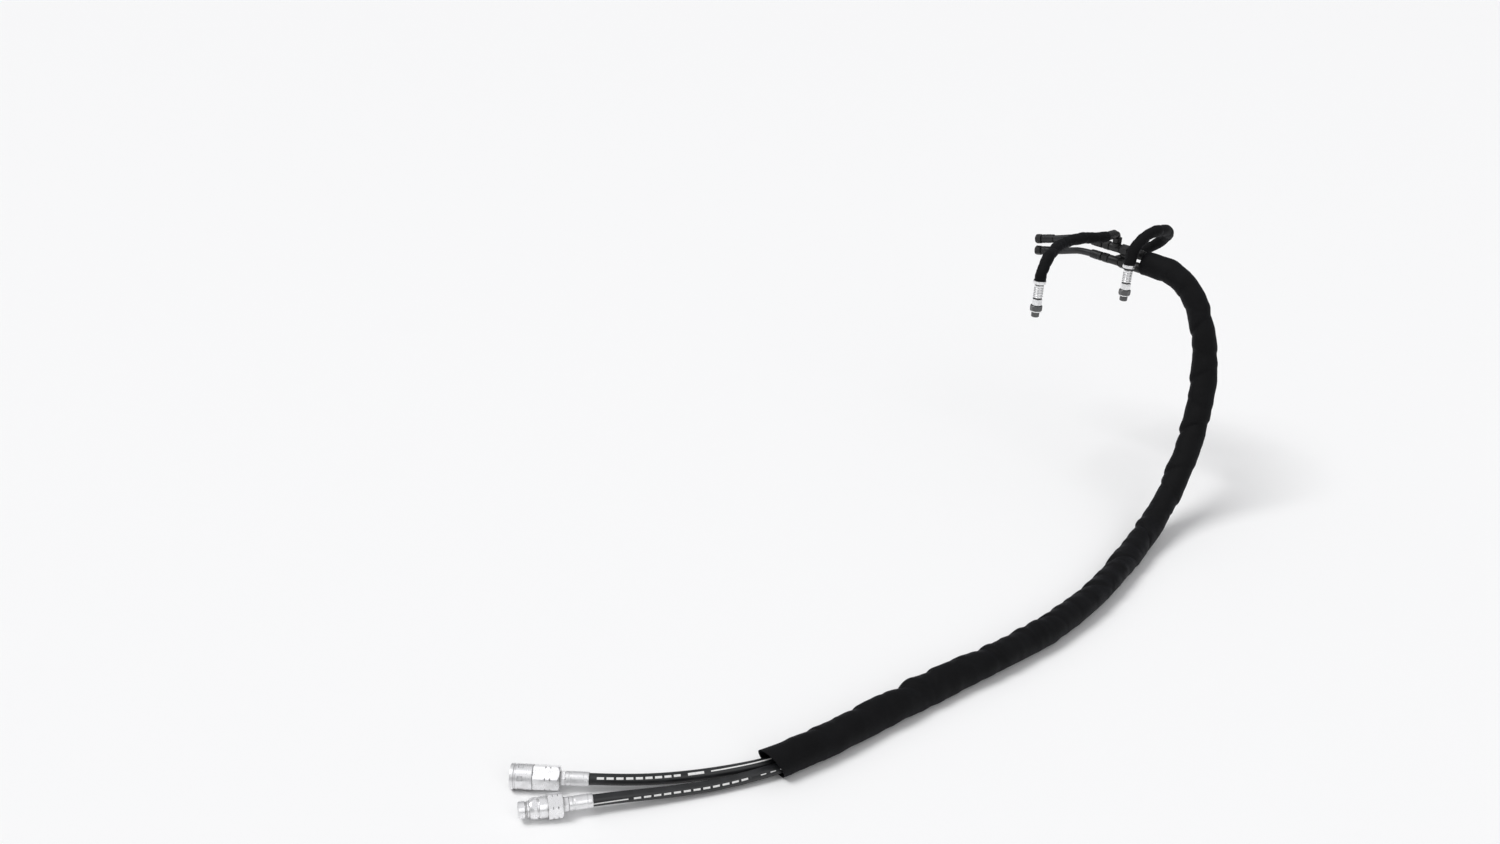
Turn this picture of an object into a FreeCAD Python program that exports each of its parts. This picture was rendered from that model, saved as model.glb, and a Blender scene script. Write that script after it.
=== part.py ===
import FreeCAD, Part
import Sketcher
import os, math
from FreeCAD import Vector, Placement, Rotation

# Hydraulic hose assembly: two long pressure hoses in one textile sleeve, with
# a flat-face quick coupler pair at the free ends and, at the port end, two
# tees that feed four short branch hoses (two to ports, two with free nuts).
# Millimetres.  Origin: centre of the near base port's sealing face, +Z up
# along that port, the port stud pointing down.  The floor that the long
# hoses lie on is 410 mm below the origin.

os.makedirs("parts", exist_ok=True)
doc = FreeCAD.newDocument("hydraulic_hose_assembly")

# ---------------------------------------------------------------- sizes
sheet = doc.addObject("Spreadsheet::Sheet", "Sizes")
SIZES = [
    # main hose, 3/8 inch two-wire
    ("main_bore_rad", 5.0, "hose bore radius"),
    ("main_liner_rad", 6.2, "liner outside radius"),
    ("main_braid_rad", 7.4, "wire braid outside radius"),
    ("main_cover_rad", 8.75, "hose outside radius"),
    # branch hose, 5/16 inch
    ("branch_bore_rad", 4.0, "hose bore radius"),
    ("branch_liner_rad", 5.1, "liner outside radius"),
    ("branch_braid_rad", 6.3, "wire braid outside radius"),
    ("branch_cover_rad", 7.5, "hose outside radius"),
    # textile sleeves
    ("sleeve_in_rad", 25.0, "main sleeve inside radius"),
    ("sleeve_out_rad", 26.5, "main sleeve outside radius"),
    ("loop_sleeve_in_rad", 10.8, "branch sleeve inside radius"),
    ("loop_sleeve_out_rad", 12.2, "branch sleeve outside radius"),
    # crimped ferrules
    ("main_ferrule_rad", 10.75, "main ferrule outside radius"),
    ("main_ferrule_len", 35.0, "main ferrule length"),
    ("branch_ferrule_rad", 9.9, "branch ferrule outside radius"),
    ("branch_ferrule_len", 28.0, "branch ferrule length"),
    ("ferrule_wall_end", 2.5, "closed end of a ferrule"),
    ("insert_bore_rad", 3.2, "bore of main hose inserts"),
    ("branch_insert_bore_rad", 2.6, "bore of branch hose inserts"),
    # female coupler
    ("coupler_hex_flats", 34.0, "coupler hexagon across flats"),
    ("coupler_corner_rad", 19.6, "coupler hexagon corner radius"),
    ("barrel_rad", 15.0, "female barrel outside radius"),
    ("coupler_bore_rad", 12.3, "female bore radius"),
    ("lock_sleeve_rad", 19.25, "locking sleeve outside radius"),
    ("lock_sleeve_run_rad", 15.06, "locking sleeve running bore"),
    ("lock_sleeve_race_rad", 16.5, "bore of the locking sleeve that holds its race"),
    ("lock_travel", 4.5, "locking sleeve travel"),
    ("valve_rad", 12.24, "valve sleeve outside radius"),
    ("valve_bore_rad", 7.56, "valve sleeve bore over the stem head"),
    ("stem_head_rad", 7.5, "fixed stem head radius"),
    ("valve_travel", 10.0, "valve travel on connection"),
    ("ball_rad", 2.0, "locking ball radius"),
    ("ball_circle_rad", 14.3, "locking ball pitch radius"),
    ("ball_station", 11.0, "ball plane behind the face"),
    # male coupler
    ("nose_rad", 12.25, "male nose radius"),
    ("nose_groove_rad", 10.6, "male ball groove radius"),
    ("male_cyl_rad", 16.0, "male body cylinder radius"),
    ("poppet_rad", 7.45, "male poppet head radius"),
    ("poppet_bore_rad", 7.5, "male poppet bore radius"),
    # tees and nuts
    ("tee_core_rad", 9.6, "tee arm radius"),
    ("tee_bore_rad", 4.0, "tee bore radius"),
    ("thread_main_rad", 8.9, "M18 x 1.5 outside thread"),
    ("thread_branch_rad", 7.9, "M16 x 1.5 outside thread"),
    ("main_nut_flats", 22.0, "main nut across flats"),
    ("main_nut_corner", 12.6, "main nut corner radius"),
    ("branch_nut_flats", 19.0, "branch nut across flats"),
    ("branch_nut_corner", 10.85, "branch nut corner radius"),
    ("nut_bore_branch", 8.0, "branch nut thread radius"),
    ("nut_bore_main", 9.0, "main nut thread radius"),
    ("insert_hex_flats", 19.0, "insert hexagon across flats"),
    ("insert_hex_corner", 10.9, "insert hexagon corner radius"),
    # ports
    ("stud_rad", 8.331, "G3/8 port stud outside radius"),
    ("stud_len", 12.0, "port stud length"),
    ("seal_rad", 11.9, "bonded seal outside radius"),
    ("seal_thick", 2.0, "bonded seal thickness"),
    ("adaptor_hex_flats", 22.0, "adaptor across flats"),
    ("adaptor_hex_corner", 12.6, "adaptor corner radius"),
    ("band_rad", 13.4, "band clamp outside radius"),
    ("band_width", 7.0, "band clamp width"),
]
for row, (alias, value, note) in enumerate(SIZES, 1):
    sheet.set("A%d" % row, alias)
    sheet.set("B%d" % row, repr(value))
    sheet.setAlias("B%d" % row, alias)
    sheet.set("C%d" % row, note)
doc.recompute()


class Q(object):
    """A size with its value and the sheet expression that drives it."""

    def __init__(self, value, text):
        self.value = float(value)
        self.text = text

    def _join(self, other, sign, value):
        return Q(value, "(%s %s %s)" % (self.text, sign, words(other)))

    def __add__(self, other):
        return self._join(other, "+", self.value + number(other))

    def __sub__(self, other):
        return self._join(other, "-", self.value - number(other))

    def __mul__(self, other):
        return self._join(other, "*", self.value * number(other))

    def __truediv__(self, other):
        return self._join(other, "/", self.value / number(other))

    def __radd__(self, other):
        return Q(number(other) + self.value, "(%s + %s)" % (words(other), self.text))

    def __rsub__(self, other):
        return Q(number(other) - self.value, "(%s - %s)" % (words(other), self.text))


def number(item):
    return item.value if isinstance(item, Q) else float(item)


def words(item):
    return item.text if isinstance(item, Q) else "%.4f" % float(item)


class Sizes(object):
    pass


D = Sizes()
for alias, value, note in SIZES:
    setattr(D, alias, Q(value, "Sizes." + alias))

PIECES = []          # (label, object)


def bind(obj, prop, item):
    """Set a property, and bind it to the sheet where it comes from there."""
    setattr(obj, prop, number(item))
    if isinstance(item, Q):
        obj.setExpression(prop, item.text)


def heading(origin, axis, up=Vector(0, 0, 1)):
    """Placement whose +Z runs along axis and whose +Y is nearest to up."""
    z = Vector(axis).normalize()
    x = Vector(up).cross(z)
    if x.Length < 1e-6:
        x = Vector(1, 0, 0)
    x.normalize()
    y = z.cross(x)
    m = FreeCAD.Matrix(x.x, y.x, z.x, origin[0],
                       x.y, y.y, z.y, origin[1],
                       x.z, y.z, z.z, origin[2],
                       0, 0, 0, 1)
    return Placement(m)


def keep(obj, label, placement=None):
    obj.Label = label
    if placement is not None:
        obj.Placement = placement.multiply(obj.Placement)
    PIECES.append((label, obj))
    return obj


def turned(name, points):
    """Body turned about its own +Z: a closed profile of (radius, height)."""
    body = doc.addObject("PartDesign::Body", name + "_blank")
    sk = body.newObject("Sketcher::SketchObject", name + "_profile")
    plane = [o for o in body.Origin.OriginFeatures if o.Role == "XZ_Plane"][0]
    sk.AttachmentSupport = [(plane, "")]
    sk.MapMode = "FlatFace"
    n = len(points)
    xy = [(number(r), number(z)) for r, z in points]
    for i in range(n):
        a, b = xy[i], xy[(i + 1) % n]
        sk.addGeometry(Part.LineSegment(Vector(a[0], a[1], 0), Vector(b[0], b[1], 0)), False)
    for i in range(n):
        sk.addConstraint(Sketcher.Constraint("Coincident", i, 2, (i + 1) % n, 1))
    driven = []
    for i, (r, z) in enumerate(points):
        if abs(number(r)) < 1e-9:
            sk.addConstraint(Sketcher.Constraint("PointOnObject", i, 1, -2))
        else:
            k = sk.addConstraint(Sketcher.Constraint("DistanceX", -1, 1, i, 1, number(r)))
            if isinstance(r, Q):
                driven.append((k, r.text))
        if abs(number(z)) < 1e-9:
            sk.addConstraint(Sketcher.Constraint("PointOnObject", i, 1, -1))
        else:
            k = sk.addConstraint(Sketcher.Constraint("DistanceY", -1, 1, i, 1, number(z)))
            if isinstance(z, Q):
                driven.append((k, z.text))
    for k, text in driven:
        sk.setExpression("Constraints[%d]" % k, text)
    rev = body.newObject("PartDesign::Revolution", name + "_turning")
    rev.Profile = sk
    rev.ReferenceAxis = (sk, ["V_Axis"])
    rev.Angle = 360.0
    body.Tip = rev
    return body


def flats(name, base, across, low, high, count=6, turn=0.0):
    """Mill flats on a turned blank between two heights."""
    prism = doc.addObject("Part::Prism", name + "_flats")
    prism.Polygon = count
    across_k = 1.0 / (2.0 * math.cos(math.pi / count))
    bind(prism, "Circumradius", across * round(across_k, 9))
    prism.Height = high - low
    prism.Placement = Placement(Vector(0, 0, low), Rotation(Vector(0, 0, 1), turn))
    ring = doc.addObject("Part::Cylinder", name + "_stock")
    ring.Radius = 45.0
    ring.Height = high - low
    ring.Placement = Placement(Vector(0, 0, low), Rotation())
    cutter = doc.addObject("Part::Cut", name + "_cutter")
    cutter.Base = ring
    cutter.Tool = prism
    out = doc.addObject("Part::Cut", name + "_milled")
    out.Base = base
    out.Tool = cutter
    return out


def drill(name, base, radius, start, axis, length):
    """Round hole from start along axis."""
    tool = doc.addObject("Part::Cylinder", name + "_drill")
    bind(tool, "Radius", radius)
    tool.Height = length
    tool.Placement = heading(start, axis, Vector(0.3, 0.2, 1))
    out = doc.addObject("Part::Cut", name + "_drilled")
    out.Base = base
    out.Tool = tool
    return out


def fuse(name, items):
    out = doc.addObject("Part::MultiFuse", name + "_joined")
    out.Shapes = items
    return out


def group(label, items):
    out = doc.addObject("Part::Compound", label + "_set")
    out.Links = items
    return keep(out, label)


def o_ring(name, ring_rad, cord_rad, height):
    tor = doc.addObject("Part::Torus", name + "_ring")
    bind(tor, "Radius1", ring_rad)
    bind(tor, "Radius2", cord_rad)
    tor.Placement = Placement(Vector(0, 0, height), Rotation())
    return tor


# ---------------------------------------------------------------- routes
# Two couplers lie on the floor at the free end of the long hoses.
def along(origin, axis, dist):
    return Vector(origin) + Vector(axis) * dist


A_F = Vector(math.cos(math.radians(-42.0)), math.sin(math.radians(-42.0)), 0)
A_M = Vector(math.cos(math.radians(-27.6)), math.sin(math.radians(-27.6)), 0)
EXIT_F = Vector(-1540.7, -179.9, -390.3)      # hose leaves the female coupler's ferrule
EXIT_M = Vector(-1563.6, -221.0, -390.3)      # hose leaves the male coupler's ferrule
FACE_F = along(EXIT_F, A_F, -117.0)
NOSE_M = along(EXIT_M, A_M, -108.0)
TEE_U = Vector(38.0, 62.0, 84.0)              # upper tee, fed by the female coupler's hose
TEE_L = Vector(38.0, 60.0, 55.0)              # lower tee, fed by the male coupler's hose
PORT_A = Vector(0, 0, 0)                      # near base port
PORT_B = Vector(-243.5, 52.0, 0)              # near rod port

UPPER_HOSE = [
    tuple(along(EXIT_F, A_F, -31.0)), tuple(along(EXIT_F, A_F, 30.0)),
    (-1475, -230.5, -393), (-1430, -255, -396.5), (-1374, -282.5, -398.5),
    (-1303.6, -315.3, -396.2), (-1232.6, -328.7, -396.2), (-1140.4, -335.6, -396.2),
    (-1035.5, -341.1, -396.2), (-925.3, -347.6, -396.2), (-804.4, -357.6, -396.2),
    (-686.2, -362.6, -396.2), (-571.7, -353.1, -396.2), (-464, -334.3, -396.2),
    (-367.2, -309.8, -396.2), (-286.2, -289.6, -393.5), (-216, -272.2, -380),
    (-158, -259.7, -353), (-112, -249.7, -316), (-75, -240.7, -274.5),
    (-45, -232, -229.5), (-20, -222.5, -182.5), (1, -212, -134.5),
    (18, -199, -84), (30, -182, -34), (38, -159, 15), (41, -126, 57),
    (40, -86, 80), (38, -43, 84), (38, 20, 84)]
LOWER_HOSE = [
    tuple(along(EXIT_M, A_M, -31.0)), tuple(along(EXIT_M, A_M, 28.0)),
    (-1494, -256.5, -393), (-1447, -278.5, -396.5), (-1388, -304.5, -398.5),
    (-1308.4, -331.9, -396.2), (-1235.4, -347.3, -396.2), (-1141.6, -354.4, -396.2),
    (-1036.5, -359.9, -396.2), (-926.7, -366.4, -396.2), (-805.6, -376.4, -396.2),
    (-685.8, -381.4, -396.2), (-569.3, -371.9, -396.2), (-460, -352.7, -396.2),
    (-362.6, -328.2, -396.2), (-281.7, -308.0, -393.5), (-211, -290.8, -380),
    (-153, -278, -353), (-107, -268, -316), (-70, -259, -274.5),
    (-39, -250, -229.5), (-8.5, -238, -184.5), (18, -220.5, -138.5),
    (36, -200, -91.5), (46.5, -177, -45), (49, -149, -5), (46, -115, 35),
    (41, -79, 53), (38, -42, 55), (38, 18, 55)]
MAIN_SLEEVE = [
    (-1306.0, -322.0, -383.5), (-1234.0, -338.0, -383.5), (-1141.0, -345.0, -383.5),
    (-1036.0, -350.5, -383.5), (-926.0, -357.0, -383.5), (-805.0, -367.0, -383.5),
    (-686.0, -372.0, -383.5), (-570.5, -362.5, -383.5), (-462.0, -343.5, -383.5),
    (-364.9, -319.0, -383.5), (-283.9, -298.8, -380.8), (-213.5, -281.5, -369.8),
    (-155.5, -268.9, -345.4), (-109.5, -258.9, -310.9), (-72.5, -249.8, -272.0),
    (-42.0, -241.0, -229.5), (-14.2, -230.2, -183.5), (9.5, -216.2, -136.5),
    (27.0, -199.5, -87.8), (38.2, -179.5, -39.5), (43.5, -154.0, 5.0),
    (43.5, -120.5, 46.0), (40.5, -82.5, 66.5), (38.0, -48.0, 69.5), (38.0, -16.0, 69.5)]
LOOP_HOSE = [
    (75, 60, 55), (122, 60, 55), (147, 46, 68), (155, 24, 88), (144, 4, 109),
    (118, -9, 126), (85, -14, 136), (53, -12, 136), (26, -7, 126), (7, -2, 107),
    (0, 0, 82), (0, 0, 35)]
PORT_BRANCH = [
    (18, 62, 117), (-26, 62, 117), (-58, 72, 121), (-92, 82, 121), (-126, 86, 118),
    (-160, 80, 115), (-190, 70, 112), (-216, 60, 107), (-235, 54, 93),
    (-243.5, 52, 74), (-243.5, 52, 35)]
FAR_UPPER = [(38, 100, 84), (38, 148, 84), (37, 180, 76), (34, 212, 66), (30, 244, 58)]
FAR_LOWER = [(38, 98, 55), (38, 146, 55), (37, 178, 46), (33, 209, 37), (29, 240, 31)]


def cord_path(points):
    """Straight runs joined by tangent arcs; prints the bend radii."""
    pts = [Vector(*p) for p in points]
    runs = [(pts[i + 1] - pts[i]).Length for i in range(len(pts) - 1)]
    edges, radii, length = [], [], 0.0
    last = pts[0]
    for i in range(1, len(pts) - 1):
        a = (pts[i] - pts[i - 1]).normalize()
        b = (pts[i + 1] - pts[i]).normalize()
        turn = math.acos(max(-1.0, min(1.0, a.dot(b))))
        back = 0.45 * min(runs[i - 1], runs[i])
        rad = back / math.tan(turn / 2.0)
        p, q = pts[i] - a * back, pts[i] + b * back
        out = (b - a).normalize()
        mid = pts[i] + out * (rad / math.cos(turn / 2.0)) - out * rad
        edges.append(Part.LineSegment(last, p).toShape())
        edges.append(Part.Arc(p, mid, q).toShape())
        length += (p - last).Length + rad * turn
        radii.append(rad)
        last = q
    edges.append(Part.LineSegment(last, pts[-1]).toShape())
    length += (pts[-1] - last).Length
    return Part.Wire(edges), radii, length


def rod(points, radius):
    wire, radii, length = cord_path(points)
    start = Vector(*points[0])
    along_it = Vector(*points[1]) - start
    ring = Part.Wire([Part.makeCircle(radius, start, along_it)])
    return wire.makePipeShell([ring], True, False), radii, length


def hose_layer(label, points, outer, inner, show=False):
    """One layer of a hose: a round tube along the route."""
    big, radii, length = rod(points, number(outer))
    small, radii, length = rod(points, number(inner))
    solid = big.cut(small)
    if solid.ShapeType == "Compound" and len(solid.Solids) == 1:
        solid = solid.Solids[0]
    want = math.pi * (number(outer) ** 2 - number(inner) ** 2) * length
    if abs(solid.Volume / want - 1.0) > 0.01:
        raise RuntimeError("%s: volume %.0f, expected %.0f" % (label, solid.Volume, want))
    if show:
        print("%-22s length %.0f, smallest radius %.0f (%.1f diameters), radii %s"
              % (label, length, min(radii), min(radii) / 2.0 / number(outer),
                 " ".join("%.0f" % r for r in radii)))
    feat = doc.addObject("Part::Feature", label)
    feat.Shape = solid
    return feat


def hose(prefix, points, bore, liner, braid, cover):
    c = hose_layer(prefix + "_cover", points, cover, braid, True)
    b = hose_layer(prefix + "_braid", points, braid, liner)
    t = hose_layer(prefix + "_liner", points, liner, bore)
    return c, b, t


def coil(name, mean_rad, wire_rad, turns, low, high, bends=8):
    """Compression spring about +Z: so many bends a turn, wire of wire_rad."""
    rise = high - low - 2.0 * wire_rad
    points = []
    for k in range(bends * turns + 1):
        t = 2.0 * math.pi * k / bends
        points.append((mean_rad * math.cos(t), mean_rad * math.sin(t),
                       low + wire_rad + rise * k / (float(bends) * turns)))
    shape, radii, length = rod(points, wire_rad)
    want = math.pi * wire_rad ** 2 * length
    if abs(shape.Volume / want - 1.0) > 0.01:
        raise RuntimeError("%s: volume %.0f, expected %.0f" % (name, shape.Volume, want))
    feat = doc.addObject("Part::Feature", name)
    feat.Shape = shape
    return feat


cover, braid, liner = hose("upper_hose", UPPER_HOSE, D.main_bore_rad, D.main_liner_rad,
                           D.main_braid_rad, D.main_cover_rad)
keep(cover, "upper_hose_cover")
keep(braid, "upper_hose_wire_braid")
keep(liner, "upper_hose_liner")
cover, braid, liner = hose("lower_hose", LOWER_HOSE, D.main_bore_rad, D.main_liner_rad,
                           D.main_braid_rad, D.main_cover_rad)
keep(cover, "lower_hose_cover")
keep(braid, "lower_hose_wire_braid")
keep(liner, "lower_hose_liner")

branches = []
for prefix, route in (("loop_hose", LOOP_HOSE), ("port_branch_hose", PORT_BRANCH),
                      ("far_upper_hose", FAR_UPPER), ("far_lower_hose", FAR_LOWER)):
    cover, braid, liner = hose(prefix, route, D.branch_bore_rad, D.branch_liner_rad,
                               D.branch_braid_rad, D.branch_cover_rad)
    keep(cover, prefix + "_cover")
    branches.append((braid, liner))
group("branch_wire_braids", [b for b, t in branches])
group("branch_hose_liners", [t for b, t in branches])

keep(hose_layer("main_sleeve", MAIN_SLEEVE, D.sleeve_out_rad, D.sleeve_in_rad, True),
     "main_sleeve")
LOOP_SLEEVE = [(104, 60, 55)] + LOOP_HOSE[1:-1] + [(0, 0, 60)]
PORT_SLEEVE = [(-8, 62, 117)] + PORT_BRANCH[1:-1] + [(-243.5, 52, 60)]
keep(hose_layer("loop_sleeve", LOOP_SLEEVE, D.loop_sleeve_out_rad, D.loop_sleeve_in_rad, True),
     "loop_sleeve")
keep(hose_layer("port_branch_sleeve", PORT_SLEEVE, D.loop_sleeve_out_rad,
                D.loop_sleeve_in_rad, True), "port_branch_sleeve")

# ------------------------------------------------------- female coupler
# Local +Z runs from the flat face back along the hose.
PF = heading(FACE_F, A_F)
NOTCH = 1.4
body = turned("female_body", [
    (D.coupler_bore_rad, 0.3), (D.barrel_rad - 0.35, 0.3), (D.barrel_rad, 0.65),
    (D.barrel_rad, 0.8), (D.barrel_rad - 0.6, 0.8), (D.barrel_rad - 0.6, 2.2),
    (D.barrel_rad, 2.2), (D.barrel_rad, 34.4), (D.coupler_corner_rad - 0.8, 34.4),
    (D.coupler_corner_rad, 35.2),
    (D.coupler_corner_rad, 53.0 - NOTCH), (D.coupler_corner_rad - NOTCH, 53.0),
    (D.coupler_corner_rad, 53.0 + NOTCH),
    (D.coupler_corner_rad, 60.3 - NOTCH), (D.coupler_corner_rad - NOTCH, 60.3),
    (D.coupler_corner_rad, 60.3 + NOTCH),
    (D.coupler_corner_rad, 71.0), (D.coupler_corner_rad - 2.6, 74.0),
    (10.0, 74.0), (10.0, 54.0), (D.coupler_bore_rad, 53.0), (D.coupler_bore_rad, 20.3),
    (D.coupler_bore_rad + 1.75, 20.3), (D.coupler_bore_rad + 1.75, 17.7),
    (D.coupler_bore_rad, 17.7)])
body = flats("female_body", body, D.coupler_hex_flats, 34.39, 74.5, 6, 30.0)
for i in range(10):
    t = math.radians(36.0 * i)
    body = drill("ball_seat_%d" % i, body, D.ball_rad + 0.02,
                 (math.cos(t) * 11.0, math.sin(t) * 11.0, D.ball_station.value),
                 Vector(math.cos(t), math.sin(t), 0), 5.2)
keep(body, "female_coupler_body", PF)

sleeve = turned("lock_sleeve", [
    (16.25, 0.0), (D.lock_sleeve_rad - 1.6, 0.0), (D.lock_sleeve_rad - 0.4, 0.6),
    (D.lock_sleeve_rad, 1.8), (D.lock_sleeve_rad, 5.4), (D.lock_sleeve_rad - 0.9, 6.2),
    (D.lock_sleeve_rad - 0.9, 8.6), (D.lock_sleeve_rad - 0.2, 9.3),
    (D.lock_sleeve_rad - 0.2, 33.0), (D.lock_sleeve_rad - 1.0, 34.0),
    (17.1, 34.0), (17.1, 20.2), (D.lock_sleeve_race_rad, 20.2), (D.lock_sleeve_race_rad, 8.3),
    (D.lock_sleeve_run_rad + 0.2, 8.0), (D.lock_sleeve_run_rad + 0.2, 6.8), (16.25, 6.4)])
# four shallow grip windows round the band of the sleeve
slots = []
for i in range(6):
    win = doc.addObject("Part::Box", "grip_window_%d" % i)
    win.Length, win.Width, win.Height = 7.0, 3.0, 8.0
    win.Placement = Placement(Vector(0, 0, 0), Rotation(Vector(0, 0, 1), 60.0 * i)).multiply(
        Placement(Vector(-3.5, 18.35, 12.0), Rotation()))
    slots.append(win)
windows = doc.addObject("Part::Compound", "grip_windows")
windows.Links = slots
grip = doc.addObject("Part::Cut", "lock_sleeve_grip")
grip.Base = sleeve
grip.Tool = windows
keep(grip, "locking_sleeve", PF)
# hardened ring pressed into the sleeve: runs on the barrel and carries the spring
keep(turned("lock_race", [
    (D.lock_sleeve_run_rad, 18.6), (D.lock_sleeve_run_rad + 0.4, 18.2),
    (D.lock_sleeve_race_rad, 18.2), (D.lock_sleeve_race_rad, 20.2),
    (D.lock_sleeve_run_rad, 20.2)]), "locking_sleeve_race", PF)

keep(coil("lock_spring", 16.3, 0.55, 4, 20.4, 34.2, 16), "locking_sleeve_spring", PF)
balls = []
for i in range(10):
    t = math.radians(36.0 * i)
    b = doc.addObject("Part::Sphere", "locking_ball_%d" % i)
    bind(b, "Radius", D.ball_rad)
    b.Placement = Placement(Vector(math.cos(t) * D.ball_circle_rad.value,
                                   math.sin(t) * D.ball_circle_rad.value,
                                   D.ball_station.value), Rotation())
    balls.append(b)
ballset = doc.addObject("Part::Compound", "ball_set")
ballset.Links = balls
keep(ballset, "locking_balls", PF)
keep(o_ring("retaining", 15.0, 0.54, 1.5), "sleeve_retaining_ring", PF)
keep(turned("valve_sleeve", [
    (D.valve_bore_rad, 0.35), (D.valve_rad - 0.6, 0.35), (D.valve_rad, 0.95),
    (D.valve_rad, 24.0), (11.0, 24.0), (11.0, 10.5), (D.valve_bore_rad, 9.5)]),
    "valve_sleeve", PF)
keep(coil("valve_spring", 9.7, 0.75, 6, 10.7, 47.8), "valve_spring", PF)
stem = turned("stem", [
    (0.0, 0.35), (D.stem_head_rad - 0.3, 0.35), (D.stem_head_rad, 0.65),
    (D.stem_head_rad, 2.6), (6.0, 2.6), (6.0, 4.4), (D.stem_head_rad, 4.4),
    (D.stem_head_rad, 7.5), (3.6, 11.0), (3.6, 48.0), (D.coupler_bore_rad, 48.0),
    (D.coupler_bore_rad, 52.0), (0.0, 52.0)])
for i in range(3):
    t = math.radians(120.0 * i + 20.0)
    stem = drill("flow_%d" % i, stem, 3.4, (math.cos(t) * 7.6, math.sin(t) * 7.6, 47.0),
                 Vector(0, 0, 1), 6.0)
keep(stem, "valve_stem", PF)
keep(o_ring("stem_seal", 6.77, 0.66, 3.5), "stem_seal", PF)
keep(o_ring("bore_seal", 13.16, 0.81, 19.0), "bore_seal", PF)
keep(flats("female_insert", turned("female_insert", [
    (D.insert_bore_rad, 54.2), (9.9, 54.2), (9.9, 74.0), (D.insert_hex_corner - 0.5, 74.0),
    (D.insert_hex_corner, 74.5), (D.insert_hex_corner, 81.3), (D.insert_hex_corner - 0.7, 82.0),
    (7.0, 82.0), (7.0, 84.5), (D.main_bore_rad, 84.5), (D.main_bore_rad, 113.0),
    (4.4, 114.5), (D.insert_bore_rad, 114.5)]), D.insert_hex_flats, 73.999, 82.001, 6, 30.0),
    "female_hose_insert", PF)


def ferrule_profile(base, rad, cover_rad, length, neck):
    """Crimped shell: a shallow rolled rim and crimp lands."""
    top = base + length.value
    return [(neck, base), (rad - 0.8, base), (rad, base + 0.8),
            (rad, base + 5.0), (rad - 0.45, base + 5.8), (rad - 0.45, base + 8.2),
            (rad, base + 9.0), (rad, top - 8.2), (rad - 0.35, top - 7.4), (rad - 0.35, top - 1.6),
            (rad - 0.9, top), (cover_rad, top),
            (cover_rad, base + 2.5 + 1.5), (cover_rad, base + 2.5), (neck, base + 2.5)]


def ferrule(name, base, rad, cover_rad, length, neck):
    pts = ferrule_profile(base, rad, cover_rad, length, neck)
    pts.pop(-3)
    return turned(name, pts)


keep(ferrule("female_ferrule", 82.0, D.main_ferrule_rad, D.main_cover_rad,
             D.main_ferrule_len, 7.0), "female_coupler_ferrule", PF)

# --------------------------------------------------------- male coupler
PM = heading(NOSE_M, A_M)
body = turned("male_body", [
    (D.poppet_bore_rad, 0.0), (D.nose_rad - 0.8, 0.0), (D.nose_rad, 0.8),
    (D.nose_rad, 9.6), (D.nose_groove_rad, 10.8), (D.nose_groove_rad, 12.2),
    (D.nose_rad, 13.2), (D.nose_rad, 16.6), (13.6, 16.6), (D.male_cyl_rad, 22.5),
    (D.male_cyl_rad, 27.0), (D.male_cyl_rad - 1.2, 27.9), (D.male_cyl_rad - 1.2, 29.6),
    (D.male_cyl_rad, 30.5), (D.male_cyl_rad, 43.0), (D.coupler_corner_rad - 0.8, 43.0),
    (D.coupler_corner_rad, 43.8),
    (D.coupler_corner_rad, 50.0 - NOTCH), (D.coupler_corner_rad - NOTCH, 50.0),
    (D.coupler_corner_rad, 50.0 + NOTCH),
    (D.coupler_corner_rad, 57.3 - NOTCH), (D.coupler_corner_rad - NOTCH, 57.3),
    (D.coupler_corner_rad, 57.3 + NOTCH),
    (D.coupler_corner_rad, 61.9), (D.coupler_corner_rad - 2.6, 64.5),
    (9.9, 64.5), (9.9, 14.0), (D.poppet_bore_rad, 13.0), (D.poppet_bore_rad, 5.0),
    (D.poppet_bore_rad + 1.4, 5.0), (D.poppet_bore_rad + 1.4, 3.0), (D.poppet_bore_rad, 3.0)])
body = flats("male_body", body, D.coupler_hex_flats, 42.99, 65.0, 6, 30.0)
body = flats("male_collar", body, Q(29.0, "29.0"), 16.5, 27.95, 6, 30.0)
keep(body, "male_coupler_body", PM)
keep(turned("poppet", [
    (0.0, 0.1), (D.poppet_rad - 0.3, 0.1), (D.poppet_rad, 0.4), (D.poppet_rad, 13.8),
    (9.3, 14.7), (9.3, 16.2), (3.0, 16.2), (3.0, 44.0), (2.4, 44.8), (0.0, 44.8)]),
    "male_poppet", PM)
keep(coil("poppet_spring", 6.4, 0.7, 6, 16.4, 41.8), "poppet_spring", PM)
guide = turned("guide", [
    (3.08, 42.0), (9.9, 42.0), (9.9, 46.0), (3.08, 46.0)])
for i in range(4):
    t = math.radians(90.0 * i + 45.0)
    guide = drill("guide_flow_%d" % i, guide, 1.9, (math.cos(t) * 6.6, math.sin(t) * 6.6, 41.0),
                  Vector(0, 0, 1), 6.0)
keep(guide, "poppet_guide", PM)
keep(o_ring("nose_seal", 8.2, 0.61, 4.0), "nose_seal", PM)
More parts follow.
